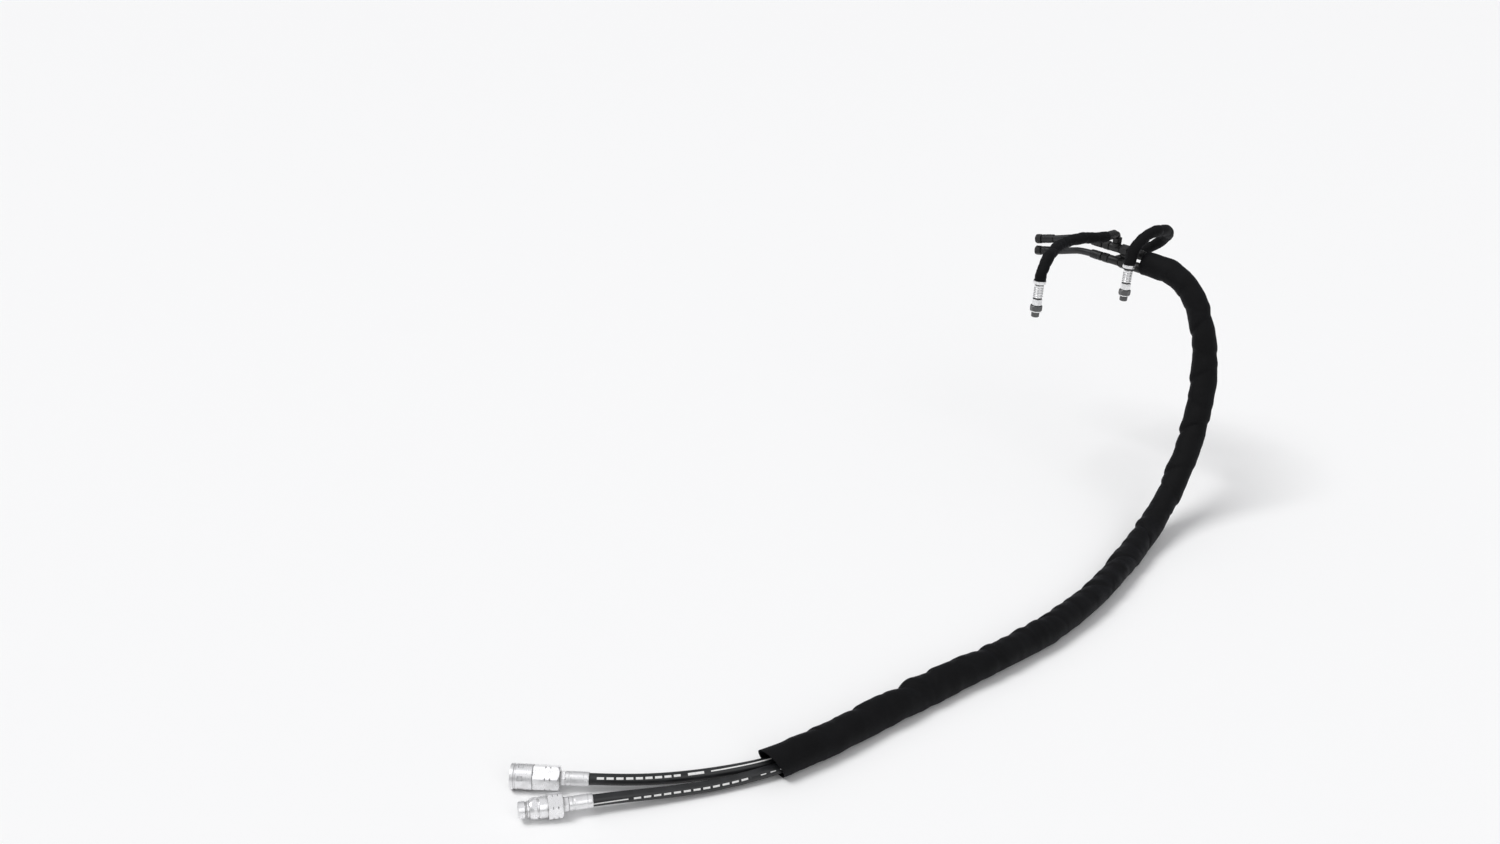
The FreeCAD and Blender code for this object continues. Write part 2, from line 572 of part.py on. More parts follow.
keep(flats("male_insert", turned("male_insert", [
    (D.insert_bore_rad + 1.2, 55.6), (9.9, 55.6), (9.9, 64.5), (D.insert_hex_corner - 0.5, 64.5),
    (D.insert_hex_corner, 65.0), (D.insert_hex_corner, 72.0), (D.insert_hex_corner - 0.7, 72.8),
    (7.0, 72.8), (7.0, 75.5), (D.main_bore_rad, 75.5), (D.main_bore_rad, 104.0),
    (4.4, 105.5), (D.insert_bore_rad, 105.5), (D.insert_bore_rad, 66.0),
    (D.insert_bore_rad + 1.2, 64.0)]), D.insert_hex_flats, 64.499, 72.801, 6, 30.0),
    "male_hose_insert", PM)
keep(ferrule("male_ferrule", 73.0, D.main_ferrule_rad, D.main_cover_rad,
             D.main_ferrule_len, 7.0), "male_coupler_ferrule", PM)


# ----------------------------------------------------------------- tees
def arm(name, origin, axis, points):
    a = turned(name, points)
    a.Placement = heading(origin, axis, Vector(0.0, 0.31, 0.95))
    return a


def tee(label, centre, side):
    """Forged tee: main inlet towards -Y, run towards +Y, one side outlet."""
    inlet = arm(label + "_inlet", centre, Vector(0, -1, 0), [
        (0.0, 0.0), (D.tee_core_rad, 0.0), (D.tee_core_rad, 12.5), (8.2, 13.2), (8.2, 14.4),
        (D.thread_main_rad, 15.2), (D.thread_main_rad, 24.0), (D.thread_main_rad - 0.9, 25.0),
        (0.0, 25.0)])
    run = arm(label + "_run", centre, Vector(0, 1, 0), [
        (0.0, 0.0), (D.tee_core_rad, 0.0), (D.tee_core_rad, 12.5), (7.2, 13.2), (7.2, 14.4),
        (D.thread_branch_rad, 15.2), (D.thread_branch_rad, 23.0),
        (D.thread_branch_rad - 0.9, 24.0), (0.0, 24.0)])
    if side.z > 0.5:
        outlet = arm(label + "_outlet", centre, side, [
            (0.0, 0.0), (D.tee_core_rad, 0.0), (D.tee_core_rad, 10.5), (7.2, 11.0),
            (7.2, 12.0), (D.thread_branch_rad, 12.6), (D.thread_branch_rad, 19.0),
            (D.thread_branch_rad - 0.8, 19.8), (0.0, 19.8)])
    else:
        outlet = arm(label + "_outlet", centre, side, [
            (0.0, 0.0), (D.tee_core_rad, 0.0), (D.tee_core_rad, 12.5), (7.2, 13.2),
            (7.2, 14.4), (D.thread_branch_rad, 15.2), (D.thread_branch_rad, 23.0),
            (D.thread_branch_rad - 0.9, 24.0), (0.0, 24.0)])
    core = fuse(label, [inlet, run, outlet])
    core = drill(label + "_through", core, D.tee_bore_rad, centre - Vector(0, 40, 0),
                 Vector(0, 1, 0), 80.0)
    core = drill(label + "_side", core, D.tee_bore_rad, centre, side, 40.0)
    return keep(core, label)


tee("upper_tee", TEE_U, Vector(0, 0, 1))
tee("lower_tee", TEE_L, Vector(1, 0, 0))


def hex_nut(name, flats_q, corner_q, bore_q, lip, low, high, lip_len=2.2):
    blank = turned(name, [
        (bore_q, low), (corner_q - 0.9, low), (corner_q, low + 0.8), (corner_q, high - 1.0),
        (corner_q - 1.2, high), (lip, high), (lip, high - lip_len), (bore_q, high - lip_len)])
    return flats(name, blank, flats_q, low - 0.01, high + 0.01, 6, 30.0)


main_nuts, main_inserts, main_ferrules = [], [], []
for k, centre in (("u", TEE_U), ("l", TEE_L)):
    place = heading(centre, Vector(0, -1, 0))
    n = hex_nut("main_nut_" + k, D.main_nut_flats, D.main_nut_corner, D.thread_main_rad,
                6.8, 15.6, 33.0, 3.0)
    n.Placement = place
    main_nuts.append(n)
    i = turned("main_insert_" + k, [
        (D.insert_bore_rad, 25.2), (8.3, 25.2), (8.3, 30.0), (6.8, 30.0), (6.8, 36.0), (7.8, 36.0),
        (7.8, 38.0), (7.0, 38.0), (7.0, 40.5), (D.main_bore_rad, 40.5),
        (D.main_bore_rad, 69.0), (4.4, 70.5), (D.insert_bore_rad, 70.5)])
    i.Placement = place
    main_inserts.append(i)
    f = ferrule("main_ferrule_" + k, 38.0, D.main_ferrule_rad, D.main_cover_rad,
                D.main_ferrule_len, 7.0)
    f.Placement = place
    main_ferrules.append(f)
group("tee_main_nuts", main_nuts)
group("tee_main_inserts", main_inserts)
group("tee_main_ferrules", main_ferrules)


def branch_insert(name, start, tail_top):
    """Swivel tail: seat collar inside the nut, neck, locking collar, barbed tail."""
    return turned(name, [
        (D.branch_insert_bore_rad, start), (7.2, start), (7.2, start + 3.6), (5.9, start + 3.6),
        (5.9, start + 8.4), (6.6, start + 8.4), (6.6, start + 9.4), (6.0, start + 9.4),
        (6.0, start + 11.9), (D.branch_bore_rad, start + 11.9), (D.branch_bore_rad, tail_top - 1.5),
        (3.5, tail_top), (D.branch_insert_bore_rad, tail_top)])


def branch_ferrule(name, base):
    return ferrule(name, base, D.branch_ferrule_rad, D.branch_cover_rad,
                   D.branch_ferrule_len, 6.0)


tee_nuts, tee_inserts, tee_ferrules = [], [], []
for k, centre, axis in (("fu", TEE_U, Vector(0, 1, 0)), ("fl", TEE_L, Vector(0, 1, 0)),
                        ("lp", TEE_L, Vector(1, 0, 0))):
    place = heading(centre, axis)
    n = hex_nut("tee_nut_" + k, D.branch_nut_flats, D.branch_nut_corner,
                D.thread_branch_rad, 5.9, 15.5, 30.0)
    n.Placement = place
    tee_nuts.append(n)
    i = branch_insert("tee_insert_" + k, 24.1, 60.0)
    i.Placement = place
    tee_inserts.append(i)
    f = branch_ferrule("tee_ferrule_" + k, 33.5)
    f.Placement = place
    tee_ferrules.append(f)
# the port branch leaves the upper tee through a compact 90 degree tail
up = heading(TEE_U, Vector(0, 0, 1), Vector(0, 1, 0))
n = hex_nut("tee_nut_pb", D.branch_nut_flats, D.branch_nut_corner, D.thread_branch_rad,
            5.9, 12.9, 22.6, 2.0)
n.Placement = up
tee_nuts.append(n)
bend_c = Vector(28.0, 62.0, 107.0)
bend_wire = Part.Wire([
    Part.LineSegment(Vector(38, 62, 104.0), Vector(38, 62, 107.0)).toShape(),
    Part.Arc(Vector(38, 62, 107.0), Vector(28 + 10 * math.cos(math.pi / 4), 62,
                                           107 + 10 * math.sin(math.pi / 4)),
             Vector(28, 62, 117.0)).toShape(),
    Part.LineSegment(Vector(28, 62, 117.0), Vector(24.4, 62, 117.0)).toShape()])
outer = bend_wire.makePipeShell([Part.Wire([Part.makeCircle(5.8, Vector(38, 62, 104.0),
                                                            Vector(0, 0, 1))])], True, False)
collar = Part.makeCylinder(7.2, 2.4, Vector(38, 62, 103.9), Vector(0, 0, 1))
lock = Part.makeCylinder(7.0, 1.2, Vector(24.6, 62, 117.0), Vector(-1, 0, 0))
neck = Part.makeCylinder(6.0, 3.0, Vector(24.4, 62, 117.0), Vector(-1, 0, 0))
tail = Part.makeCylinder(D.branch_bore_rad.value, 26.0, Vector(23.0, 62, 117.0), Vector(-1, 0, 0))
solid = outer.fuse([collar, lock, neck, tail])
hole = bend_wire.makePipeShell([Part.Wire([Part.makeCircle(D.branch_insert_bore_rad.value,
                                                           Vector(38, 62, 104.0),
                                                           Vector(0, 0, 1))])], True, False)
hole2 = Part.makeCylinder(D.branch_insert_bore_rad.value, 40.0, Vector(24.5, 62, 117.0),
                          Vector(-1, 0, 0))
hole3 = Part.makeCylinder(D.branch_insert_bore_rad.value, 2.0, Vector(38, 62, 102.5),
                          Vector(0, 0, 1))
solid = solid.cut([hole, hole2, hole3])
elbow = doc.addObject("Part::Feature", "elbow_tail")
elbow.Shape = solid.Solids[0] if len(solid.Solids) == 1 else solid
keep(elbow, "branch_elbow")
f = branch_ferrule("tee_ferrule_pb", 0.0)
f.Placement = heading((23.0, 62.0, 117.0), Vector(-1, 0, 0))
tee_ferrules.append(f)
group("tee_branch_nuts", tee_nuts)
group("tee_branch_inserts", tee_inserts)
group("tee_branch_ferrules", tee_ferrules)

# ---------------------------------------------------------------- ports
port_inserts, port_ferrules, seal_rings, seal_lips, bands = [], [], [], [], []
for label, base in (("base_port", PORT_A), ("rod_port", PORT_B)):
    drop = Placement(base - Vector(0, 0, D.stud_len.value), Rotation())
    s = D.stud_len
    a = turned(label + "_adaptor", [
        (3.4, 0.0), (D.stud_rad - 0.9, 0.0), (D.stud_rad, 0.9), (D.stud_rad, s),
        (D.stud_rad - 0.2, s), (D.stud_rad - 0.2, s + 2.0), (D.adaptor_hex_corner - 0.8, s + 2.0),
        (D.adaptor_hex_corner, s + 2.8), (D.adaptor_hex_corner, s + 11.6),
        (D.adaptor_hex_corner - 1.4, s + 13.0), (7.0, s + 13.0), (7.0, s + 14.0),
        (D.thread_branch_rad, s + 14.8), (D.thread_branch_rad, s + 20.6),
        (D.thread_branch_rad - 0.7, s + 21.2), (6.3, s + 21.2), (3.4, s + 18.0)])
    a = flats(label + "_adaptor", a, D.adaptor_hex_flats, 13.99, 25.01, 6, 0.0)
    keep(a, label + "_adaptor", drop)
    ring = turned(label + "_seal_ring", [
        (9.6, 0.0), (D.seal_rad, 0.0), (D.seal_rad, D.seal_thick), (9.6, D.seal_thick)])
    ring.Placement = Placement(base, Rotation())
    seal_rings.append(ring)
    lip = turned(label + "_seal_lip", [
        (8.4, 0.0), (9.6, 0.0), (9.6, D.seal_thick), (8.4, D.seal_thick)])
    lip.Placement = Placement(base, Rotation())
    seal_lips.append(lip)
    n = hex_nut(label + "_nut", D.branch_nut_flats, D.branch_nut_corner, D.nut_bore_branch,
                6.05, 14.2, 27.4, 2.2)
    keep(n, label + "_nut", Placement(base, Rotation(Vector(0, 0, 1), 17.0)))
    i = branch_insert(label + "_insert", 21.25, 56.0)
    i.Placement = Placement(base, Rotation())
    port_inserts.append(i)
    f = branch_ferrule(label + "_ferrule", 30.65)
    f.Placement = Placement(base, Rotation())
    port_ferrules.append(f)
for base, low in ((PORT_A, 63.0), (PORT_B, 60.5)):
    b = turned("band_%d" % int(low), [
        (D.loop_sleeve_out_rad, 0.0), (D.band_rad - 0.4, 0.0), (D.band_rad, 0.8),
        (D.band_rad, D.band_width - 0.8), (D.band_rad - 0.4, D.band_width),
        (D.loop_sleeve_out_rad, D.band_width)])
    b.Placement = Placement(Vector(base.x, base.y, low), Rotation())
    bands.append(b)
group("port_seal_rings", seal_rings)
group("port_seal_lips", seal_lips)
group("port_inserts", port_inserts)
group("port_ferrules", port_ferrules)
group("sleeve_band_clamps", bands)

# ------------------------------------------------- free ends, far side
far_inserts, far_ferrules = [], []
for label, route in (("far_upper", FAR_UPPER), ("far_lower", FAR_LOWER)):
    end = Vector(*route[-1])
    axis = (end - Vector(*route[-2])).normalize()
    # the hose end sits 23.7 mm inside the ferrule; local +Z runs back along the hose
    place = heading(along(end, axis, 20.8), axis * -1.0)
    print("%s nut mouth %.3f %.3f %.3f, axis %.6f %.6f %.6f" % (
        (label,) + tuple(along(end, axis, 20.8)) + tuple(axis)))
    c = D.branch_nut_corner
    n = turned(label + "_nut", [
        (D.nut_bore_branch, 0.0), (c - 0.9, 0.0), (c, 0.8), (c, 12.2), (c - 1.2, 13.2),
        (6.05, 13.2), (6.05, 11.0), (D.nut_bore_branch + 0.3, 11.0),
        (D.nut_bore_branch + 0.3, 7.0), (D.nut_bore_branch, 7.0)])
    n = flats(label + "_nut", n, D.branch_nut_flats, -0.01, 13.21, 6, 30.0)
    keep(n, label + "_swivel_nut", place)
    i = branch_insert(label + "_insert", 7.05, 41.8)
    i.Placement = place
    far_inserts.append(i)
    f = branch_ferrule(label + "_ferrule", 16.45)
    f.Placement = place
    far_ferrules.append(f)
group("far_inserts", far_inserts)
group("far_ferrules", far_ferrules)

# --------------------------------------------------------------- output
doc.recompute()
bad = []
for obj in doc.Objects:
    state = [str(x) for x in getattr(obj, "State", [])]
    if "Invalid" in state or "Error" in state:
        bad.append("%s %s" % (obj.Name, state))
for label, obj in PIECES:
    shape = obj.Shape
    if shape.isNull() or not shape.isValid() or not shape.Solids:
        bad.append(label + " has no valid shape")
if bad:
    raise RuntimeError("; ".join(bad))
for label, obj in PIECES:
    obj.Shape.exportStep("parts/%s.step" % label)
    box = obj.Shape.BoundBox
    print("%-26s solids %2d volume %9.0f  x %8.1f %8.1f  y %7.1f %7.1f  z %7.1f %7.1f" % (
        label, len(obj.Shape.Solids), obj.Shape.Volume,
        box.XMin, box.XMax, box.YMin, box.YMax, box.ZMin, box.ZMax))
print("%d pieces written" % len(PIECES))
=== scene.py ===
import bpy
import math
import numpy as np
from mathutils import Matrix, Vector


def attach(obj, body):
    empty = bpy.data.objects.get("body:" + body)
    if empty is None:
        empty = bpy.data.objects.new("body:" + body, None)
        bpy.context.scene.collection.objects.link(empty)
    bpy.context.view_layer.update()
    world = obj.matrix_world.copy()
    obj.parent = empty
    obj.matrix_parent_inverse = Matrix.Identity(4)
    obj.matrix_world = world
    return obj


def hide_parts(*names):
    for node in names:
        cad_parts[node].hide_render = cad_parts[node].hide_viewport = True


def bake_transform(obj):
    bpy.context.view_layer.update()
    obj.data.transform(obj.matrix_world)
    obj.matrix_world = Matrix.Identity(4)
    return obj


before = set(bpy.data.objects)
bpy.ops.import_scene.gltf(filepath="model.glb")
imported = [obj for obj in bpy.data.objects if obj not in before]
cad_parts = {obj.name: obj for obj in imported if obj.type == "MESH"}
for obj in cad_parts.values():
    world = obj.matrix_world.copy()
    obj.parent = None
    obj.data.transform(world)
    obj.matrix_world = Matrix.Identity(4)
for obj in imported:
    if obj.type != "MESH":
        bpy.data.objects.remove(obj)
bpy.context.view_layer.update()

BODY = "hose_set"
FLOOR = -0.410
scene = bpy.context.scene

# ------------------------------------------------------------------ camera
cam_data = bpy.data.cameras.new("camera")
cam_data.sensor_fit = "HORIZONTAL"
cam_data.sensor_width = 36.0
cam_data.lens = 31.416
cam_data.clip_end = 1500.0
camera = bpy.data.objects.new("camera", cam_data)
camera.matrix_world = Matrix((
    (0.749570, 0.255108, -0.610790, -2.4166),
    (-0.660662, 0.345289, -0.666560, -1.4541),
    (0.040854, 0.903160, 0.427358, 0.9330),
    (0.0, 0.0, 0.0, 1.0)))
scene.collection.objects.link(camera)
scene.camera = camera
VIEW = Vector((-0.6110, -0.6665, 0.4274)).normalized()   # a fixed direction, used to set where the printed line lies

# ------------------------------------------------------------------ routes
# The hoses' routes, in millimetres, as the CAD has them.
AF = (math.cos(math.radians(-42.0)), math.sin(math.radians(-42.0)))
AM = (math.cos(math.radians(-27.6)), math.sin(math.radians(-27.6)))
EF = (-1540.7, -179.9, -390.3)
EM = (-1563.6, -221.0, -390.3)


def ahead(origin, axis, dist):
    return (origin[0] + axis[0] * dist, origin[1] + axis[1] * dist, origin[2])


UPPER_HOSE = [
    ahead(EF, AF, -31.0), ahead(EF, AF, 30.0),
    (-1475, -230.5, -393), (-1430, -255, -396.5), (-1374, -282.5, -398.5),
    (-1303.6, -315.3, -396.2), (-1232.6, -328.7, -396.2), (-1140.4, -335.6, -396.2),
    (-1035.5, -341.1, -396.2), (-925.3, -347.6, -396.2), (-804.4, -357.6, -396.2),
    (-686.2, -362.6, -396.2), (-571.7, -353.1, -396.2), (-464, -334.3, -396.2),
    (-367.2, -309.8, -396.2), (-286.2, -289.6, -393.5), (-216, -272.2, -380),
    (-158, -259.7, -353), (-112, -249.7, -316), (-75, -240.7, -274.5),
    (-45, -232, -229.5), (-20, -222.5, -182.5), (1, -212, -134.5),
    (18, -199, -84), (30, -182, -34), (38, -159, 15), (41, -126, 57),
    (40, -86, 80), (38, -43, 84), (38, 20, 84)]
LOWER_HOSE = [
    ahead(EM, AM, -31.0), ahead(EM, AM, 28.0),
    (-1494, -256.5, -393), (-1447, -278.5, -396.5), (-1388, -304.5, -398.5),
    (-1308.4, -331.9, -396.2), (-1235.4, -347.3, -396.2), (-1141.6, -354.4, -396.2),
    (-1036.5, -359.9, -396.2), (-926.7, -366.4, -396.2), (-805.6, -376.4, -396.2),
    (-685.8, -381.4, -396.2), (-569.3, -371.9, -396.2), (-460, -352.7, -396.2),
    (-362.6, -328.2, -396.2), (-281.7, -308.0, -393.5), (-211, -290.8, -380),
    (-153, -278, -353), (-107, -268, -316), (-70, -259, -274.5),
    (-39, -250, -229.5), (-8.5, -238, -184.5), (18, -220.5, -138.5),
    (36, -200, -91.5), (46.5, -177, -45), (49, -149, -5), (46, -115, 35),
    (41, -79, 53), (38, -42, 55), (38, 18, 55)]
MAIN_SLEEVE = [
    (-1306.0, -328.5, -386.0), (-1243.0, -340.0, -384.8), (-1141.0, -345.5, -384.5),
    (-1036.0, -350.5, -384.5), (-926.0, -357.0, -384.5), (-805.0, -367.0, -384.5),
    (-686.0, -372.0, -384.5), (-570.5, -362.5, -384.5), (-462.0, -343.5, -384.5),
    (-364.9, -319.0, -384.5), (-283.9, -298.8, -381.3), (-213.5, -281.5, -369.8),
    (-155.5, -268.9, -345.4), (-109.5, -258.9, -310.9), (-72.5, -249.8, -272.0),
    (-42.0, -241.0, -229.5), (-14.2, -230.2, -183.5), (9.5, -216.2, -136.5),
    (27.0, -199.5, -87.8), (38.2, -179.5, -39.5), (43.5, -154.0, 5.0),
    (43.5, -120.5, 46.0), (40.5, -82.5, 66.5), (38.0, -48.0, 69.5), (38.0, -16.0, 69.5)]
LOOP_HOSE = [
    (75, 60, 55), (122, 60, 55), (147, 46, 68), (155, 24, 88), (144, 4, 109),
    (118, -9, 126), (85, -14, 136), (53, -12, 136), (26, -7, 126), (7, -2, 107),
    (0, 0, 82), (0, 0, 35)]
PORT_BRANCH = [
    (18, 62, 117), (-26, 62, 117), (-58, 72, 121), (-92, 82, 121), (-126, 86, 118),
    (-160, 80, 115), (-190, 70, 112), (-216, 60, 107), (-235, 54, 93),
    (-243.5, 52, 74), (-243.5, 52, 35)]
FAR_UPPER = [(38, 100, 84), (38, 148, 84), (37, 180, 76), (34, 212, 66), (30, 244, 58)]
FAR_LOWER = [(38, 98, 55), (38, 146, 55), (37, 178, 46), (33, 209, 37), (29, 240, 31)]
LOOP_SLEEVE = [(104, 60, 55)] + LOOP_HOSE[1:-1] + [(0, 0, 60)]
PORT_SLEEVE = [(-8, 62, 117)] + PORT_BRANCH[1:-1] + [(-243.5, 52, 60)]


# ------------------------------------------------------------------ helpers
def link(ob):
    scene.collection.objects.link(ob)
    return ob


def spline_points(route):
    """Points of the route's smooth line, in metres, from a curve with no bevel."""
    cu = bpy.data.curves.new("line", "CURVE")
    cu.dimensions = "3D"
    cu.resolution_u = 24
    sp = cu.splines.new("NURBS")
    sp.points.add(len(route) - 1)
    for p, q in zip(sp.points, route):
        p.co = (q[0] / 1000.0, q[1] / 1000.0, q[2] / 1000.0, 1.0)
    sp.order_u = 3
    sp.use_endpoint_u = True
    ob = link(bpy.data.objects.new("line", cu))
    bpy.context.view_layer.update()
    me = bpy.data.meshes.new_from_object(ob)
    pts = np.array([v.co[:] for v in me.vertices])
    bpy.data.objects.remove(ob)
    bpy.data.meshes.remove(me)
    return pts


def arc(pts):
    return np.r_[0.0, np.cumsum(np.linalg.norm(np.diff(pts, axis=0), axis=1))]


def at(pts, s):
    a = arc(pts)
    return np.stack([np.interp(s, a, pts[:, k]) for k in range(3)], axis=-1)


def unit(v):
    return v / np.maximum(np.linalg.norm(v, axis=-1, keepdims=True), 1e-12)


def soften(v, n):
    for _ in range(n):
        w = v.copy()
        w[1:-1] = (v[:-2] + 2.0 * v[1:-1] + v[2:]) / 4.0
        v = w
    return v


def frames(c, towards):
    """Tangent, the side nearest to `towards`, and their normal, at each point."""
    t = unit(np.gradient(c, axis=0))
    w = unit(towards - (towards * t).sum(-1, keepdims=True) * t)
    return t, w, np.cross(t, w)


def rings_to_mesh(name, V, u=None, smooth=True):
    """A tube from rings of points (n, m, 3); UV is metres along and turns around."""
    n, m = V.shape[:2]
    idx = np.arange(n * m).reshape(n, m)
    a, b = idx[:-1], idx[1:]
    quads = np.stack([a, np.roll(a, -1, 1), np.roll(b, -1, 1), b], -1).reshape(-1, 4)
    me = bpy.data.meshes.new(name)
    me.vertices.add(n * m)
    me.vertices.foreach_set("co", V.reshape(-1).astype(np.float32))
    me.loops.add(quads.size)
    me.loops.foreach_set("vertex_index", quads.reshape(-1).astype(np.int32))
    me.polygons.add(len(quads))
    me.polygons.foreach_set("loop_start", np.arange(0, quads.size, 4, dtype=np.int32))
    me.polygons.foreach_set("use_smooth", np.full(len(quads), smooth))
    me.update(calc_edges=True)
    if u is not None:
        layer = me.uv_layers.new(name="UVMap")
        row, col = np.divmod(quads, m)
        around = col / float(m)
        wrap = np.tile(np.array([False, True, True, False]), (len(quads), 1))
        last = (np.arange(len(quads)) % m == m - 1)[:, None]
        around = np.where(wrap & last, 1.0, around)
        uv = np.stack([u[row], around], -1)
        layer.data.foreach_set("uv", uv.reshape(-1).astype(np.float32))
    ob = bpy.data.objects.new(name, me)
    return link(ob)


def tube(name, pts, radius, sides=24, step=0.004, towards=None, wobble=0.0, seed=1):
    total = arc(pts)[-1]
    s = np.linspace(0.0, total, max(8, int(total / step)))
    c = at(pts, s)
    t, w, n = frames(c, np.tile(np.array(towards if towards is not None else VIEW), (len(c), 1)))
    th = np.linspace(0.0, 2.0 * np.pi, sides, endpoint=False)
    rad = radius * np.ones((len(s), sides))
    if wobble:
        r = np.random.RandomState(seed)
        for k in range(1, 5):
            rad += wobble * r.randn() * np.sin(s[:, None] * (18.0 * k + 7.0 * r.rand()) + th[None] * r.randint(1, 4) + 6.28 * r.rand()) / k
    V = c[:, None] + rad[..., None] * (np.cos(th)[None, :, None] * w[:, None] + np.sin(th)[None, :, None] * n[:, None])
    return rings_to_mesh(name, V, s), c, s


# ---------------------------------------------------------------- materials
class Nodes(object):
    """Short hand for a node tree."""

    def __init__(self, name):
        self.mat = bpy.data.materials.new(name)
        self.mat.use_nodes = True
        self.tree = self.mat.node_tree
        self.tree.nodes.clear()
        self.out = self.tree.nodes.new("ShaderNodeOutputMaterial")
        self.bsdf = self.tree.nodes.new("ShaderNodeBsdfPrincipled")
        self.tree.links.new(self.bsdf.outputs[0], self.out.inputs[0])

    def node(self, kind, **props):
        n = self.tree.nodes.new("ShaderNode" + kind)
        for k, v in props.items():
            setattr(n, k, v)
        return n

    def put(self, socket, value):
        if isinstance(value, bpy.types.NodeSocket):
            self.tree.links.new(value, socket)
        elif value is not None:
            socket.default_value = value

    def math(self, op, a, b=None, c=None, clamp=False):
        n = self.node("Math", operation=op, use_clamp=clamp)
        for i, x in enumerate((a, b, c)):
            if x is not None:
                self.put(n.inputs[i], x)
        return n.outputs[0]

    def mix(self, fac, a, b):
        n = self.node("Mix", data_type="RGBA")
        self.put(n.inputs[0], fac)
        self.put(n.inputs[6], a)
        self.put(n.inputs[7], b)
        return n.outputs[2]

    def mixf(self, fac, a, b):
        n = self.node("Mix", data_type="FLOAT")
        self.put(n.inputs[0], fac)
        self.put(n.inputs[2], a)
        self.put(n.inputs[3], b)
        return n.outputs[0]

    def ramp(self, fac, lo, hi, a=0.0, b=1.0):
        n = self.node("MapRange")
        n.inputs[1].default_value, n.inputs[2].default_value = lo, hi
        n.inputs[3].default_value, n.inputs[4].default_value = a, b
        self.put(n.inputs[0], fac)
        return n.outputs[0]

    def coords(self):
        return self.node("TexCoord").outputs["Object"]

    def scaled(self, vector, scale):
        n = self.node("Mapping")
        self.put(n.inputs[0], vector)
        n.inputs[3].default_value = scale
        return n.outputs[0]

    def noise(self, vector, scale, detail=3.0, rough=0.55):
        n = self.node("TexNoise")
        self.put(n.inputs["Vector"], vector)
        n.inputs["Scale"].default_value = scale
        n.inputs["Detail"].default_value = detail
        n.inputs["Roughness"].default_value = rough
        return n.outputs[0]

    def bump(self, height, strength, distance, normal=None):
        n = self.node("Bump")
        n.inputs["Strength"].default_value = strength
        n.inputs["Distance"].default_value = distance
        self.put(n.inputs["Height"], height)
        if normal is not None:
            self.put(n.inputs["Normal"], normal)
        return n.outputs[0]

    def set(self, **values):
        for k, v in values.items():
            self.put(self.bsdf.inputs[k.replace("_", " ")], v)
        return self.mat


def rgb(r, g=None, b=None):
    return (r, r if g is None else g, r if b is None else b, 1.0)


def rubber(name, marks=None, base=(0.0125, 0.0130, 0.0140), rough=0.36):
    """Extruded hose cover: satin, lightly dusty, with a fine lengthwise grain. marks draws plain printed lines and dashes."""
    k = Nodes(name)
    obj = k.coords()
    dust = k.noise(obj, 38.0, 5.0, 0.62)
    fine = k.noise(obj, 900.0, 3.0, 0.6)
    uv = k.node("UVMap", uv_map="UVMap").outputs[0]
    sep = k.node("SeparateXYZ")
    k.put(sep.inputs[0], uv)
    along, round_it = sep.outputs[0], sep.outputs[1]
    col = k.mix(k.ramp(dust, 0.42, 0.75), rgb(*base), rgb(base[0] * 1.9, base[1] * 1.9, base[2] * 1.95))
    roughness = k.ramp(dust, 0.35, 0.7, rough - 0.05, rough + 0.10)
    # fine imprint of the wrapping cloth
    wrap = k.math("MULTIPLY", k.math("SINE", k.math("MULTIPLY", along, 2 * math.pi / 0.0011)),
                  k.math("SINE", k.math("MULTIPLY", round_it, 2 * math.pi * 46)))
    height = k.math("ADD", k.math("MULTIPLY", wrap, 0.25), fine)
    if marks is not None:
        ink = marks(k, along, round_it)
        worn = k.ramp(k.noise(obj, 420.0, 4.0, 0.7), 0.30, 0.48)
        ink = k.math("MULTIPLY", ink, k.ramp(worn, 0.0, 1.0, 0.72, 1.0), clamp=True)
        col = k.mix(ink, col, rgb(0.80, 0.80, 0.79))
        roughness = k.mixf(ink, roughness, 0.55)
    return k.set(Base_Color=col, Roughness=roughness, Specular_IOR_Level=0.45,
                 Normal=k.bump(height, 0.22, 0.00012))


def band_mask(k, round_it, centre, half_turn):
    """1 within half_turn of centre, both in turns."""
    d = k.math("SUBTRACT", round_it, centre)
    d = k.math("ABSOLUTE", k.math("SUBTRACT", k.math("FRACT", k.math("ADD", d, 0.5)), 0.5))
    return k.ramp(d, half_turn + 0.004, half_turn - 0.002)


def span_mask(k, along, start, end):
    return k.math("MULTIPLY", k.ramp(along, start - 0.0002, start + 0.0002), k.ramp(along, end + 0.0002, end - 0.0002))


def beat(k, along, period, duty, shift=0.0):
    """Square wave along the hose."""
    f = k.math("FRACT", k.math("ADD", k.math("DIVIDE", along, period), shift))
    return k.math("LESS_THAN", f, duty)


def upper_marks(k, along, round_it):
    """A row of plain dashes, then a thin line that runs on into the sleeve."""
    where = k.ramp(along, 0.03, 0.30, -0.060, -0.125)
    row = k.math("MULTIPLY", k.math("MULTIPLY", span_mask(k, along, 0.040, 0.168), beat(k, along, 0.0142, 0.74)),
                 band_mask(k, round_it, where, 0.031))
    block = k.math("MULTIPLY", span_mask(k, along, 0.178, 0.203), band_mask(k, round_it, where, 0.036))
    line = k.math("MULTIPLY", span_mask(k, along, 0.214, 2.2), band_mask(k, round_it, where, 0.0175))
    return k.math("ADD", k.math("ADD", row, block), line, clamp=True)


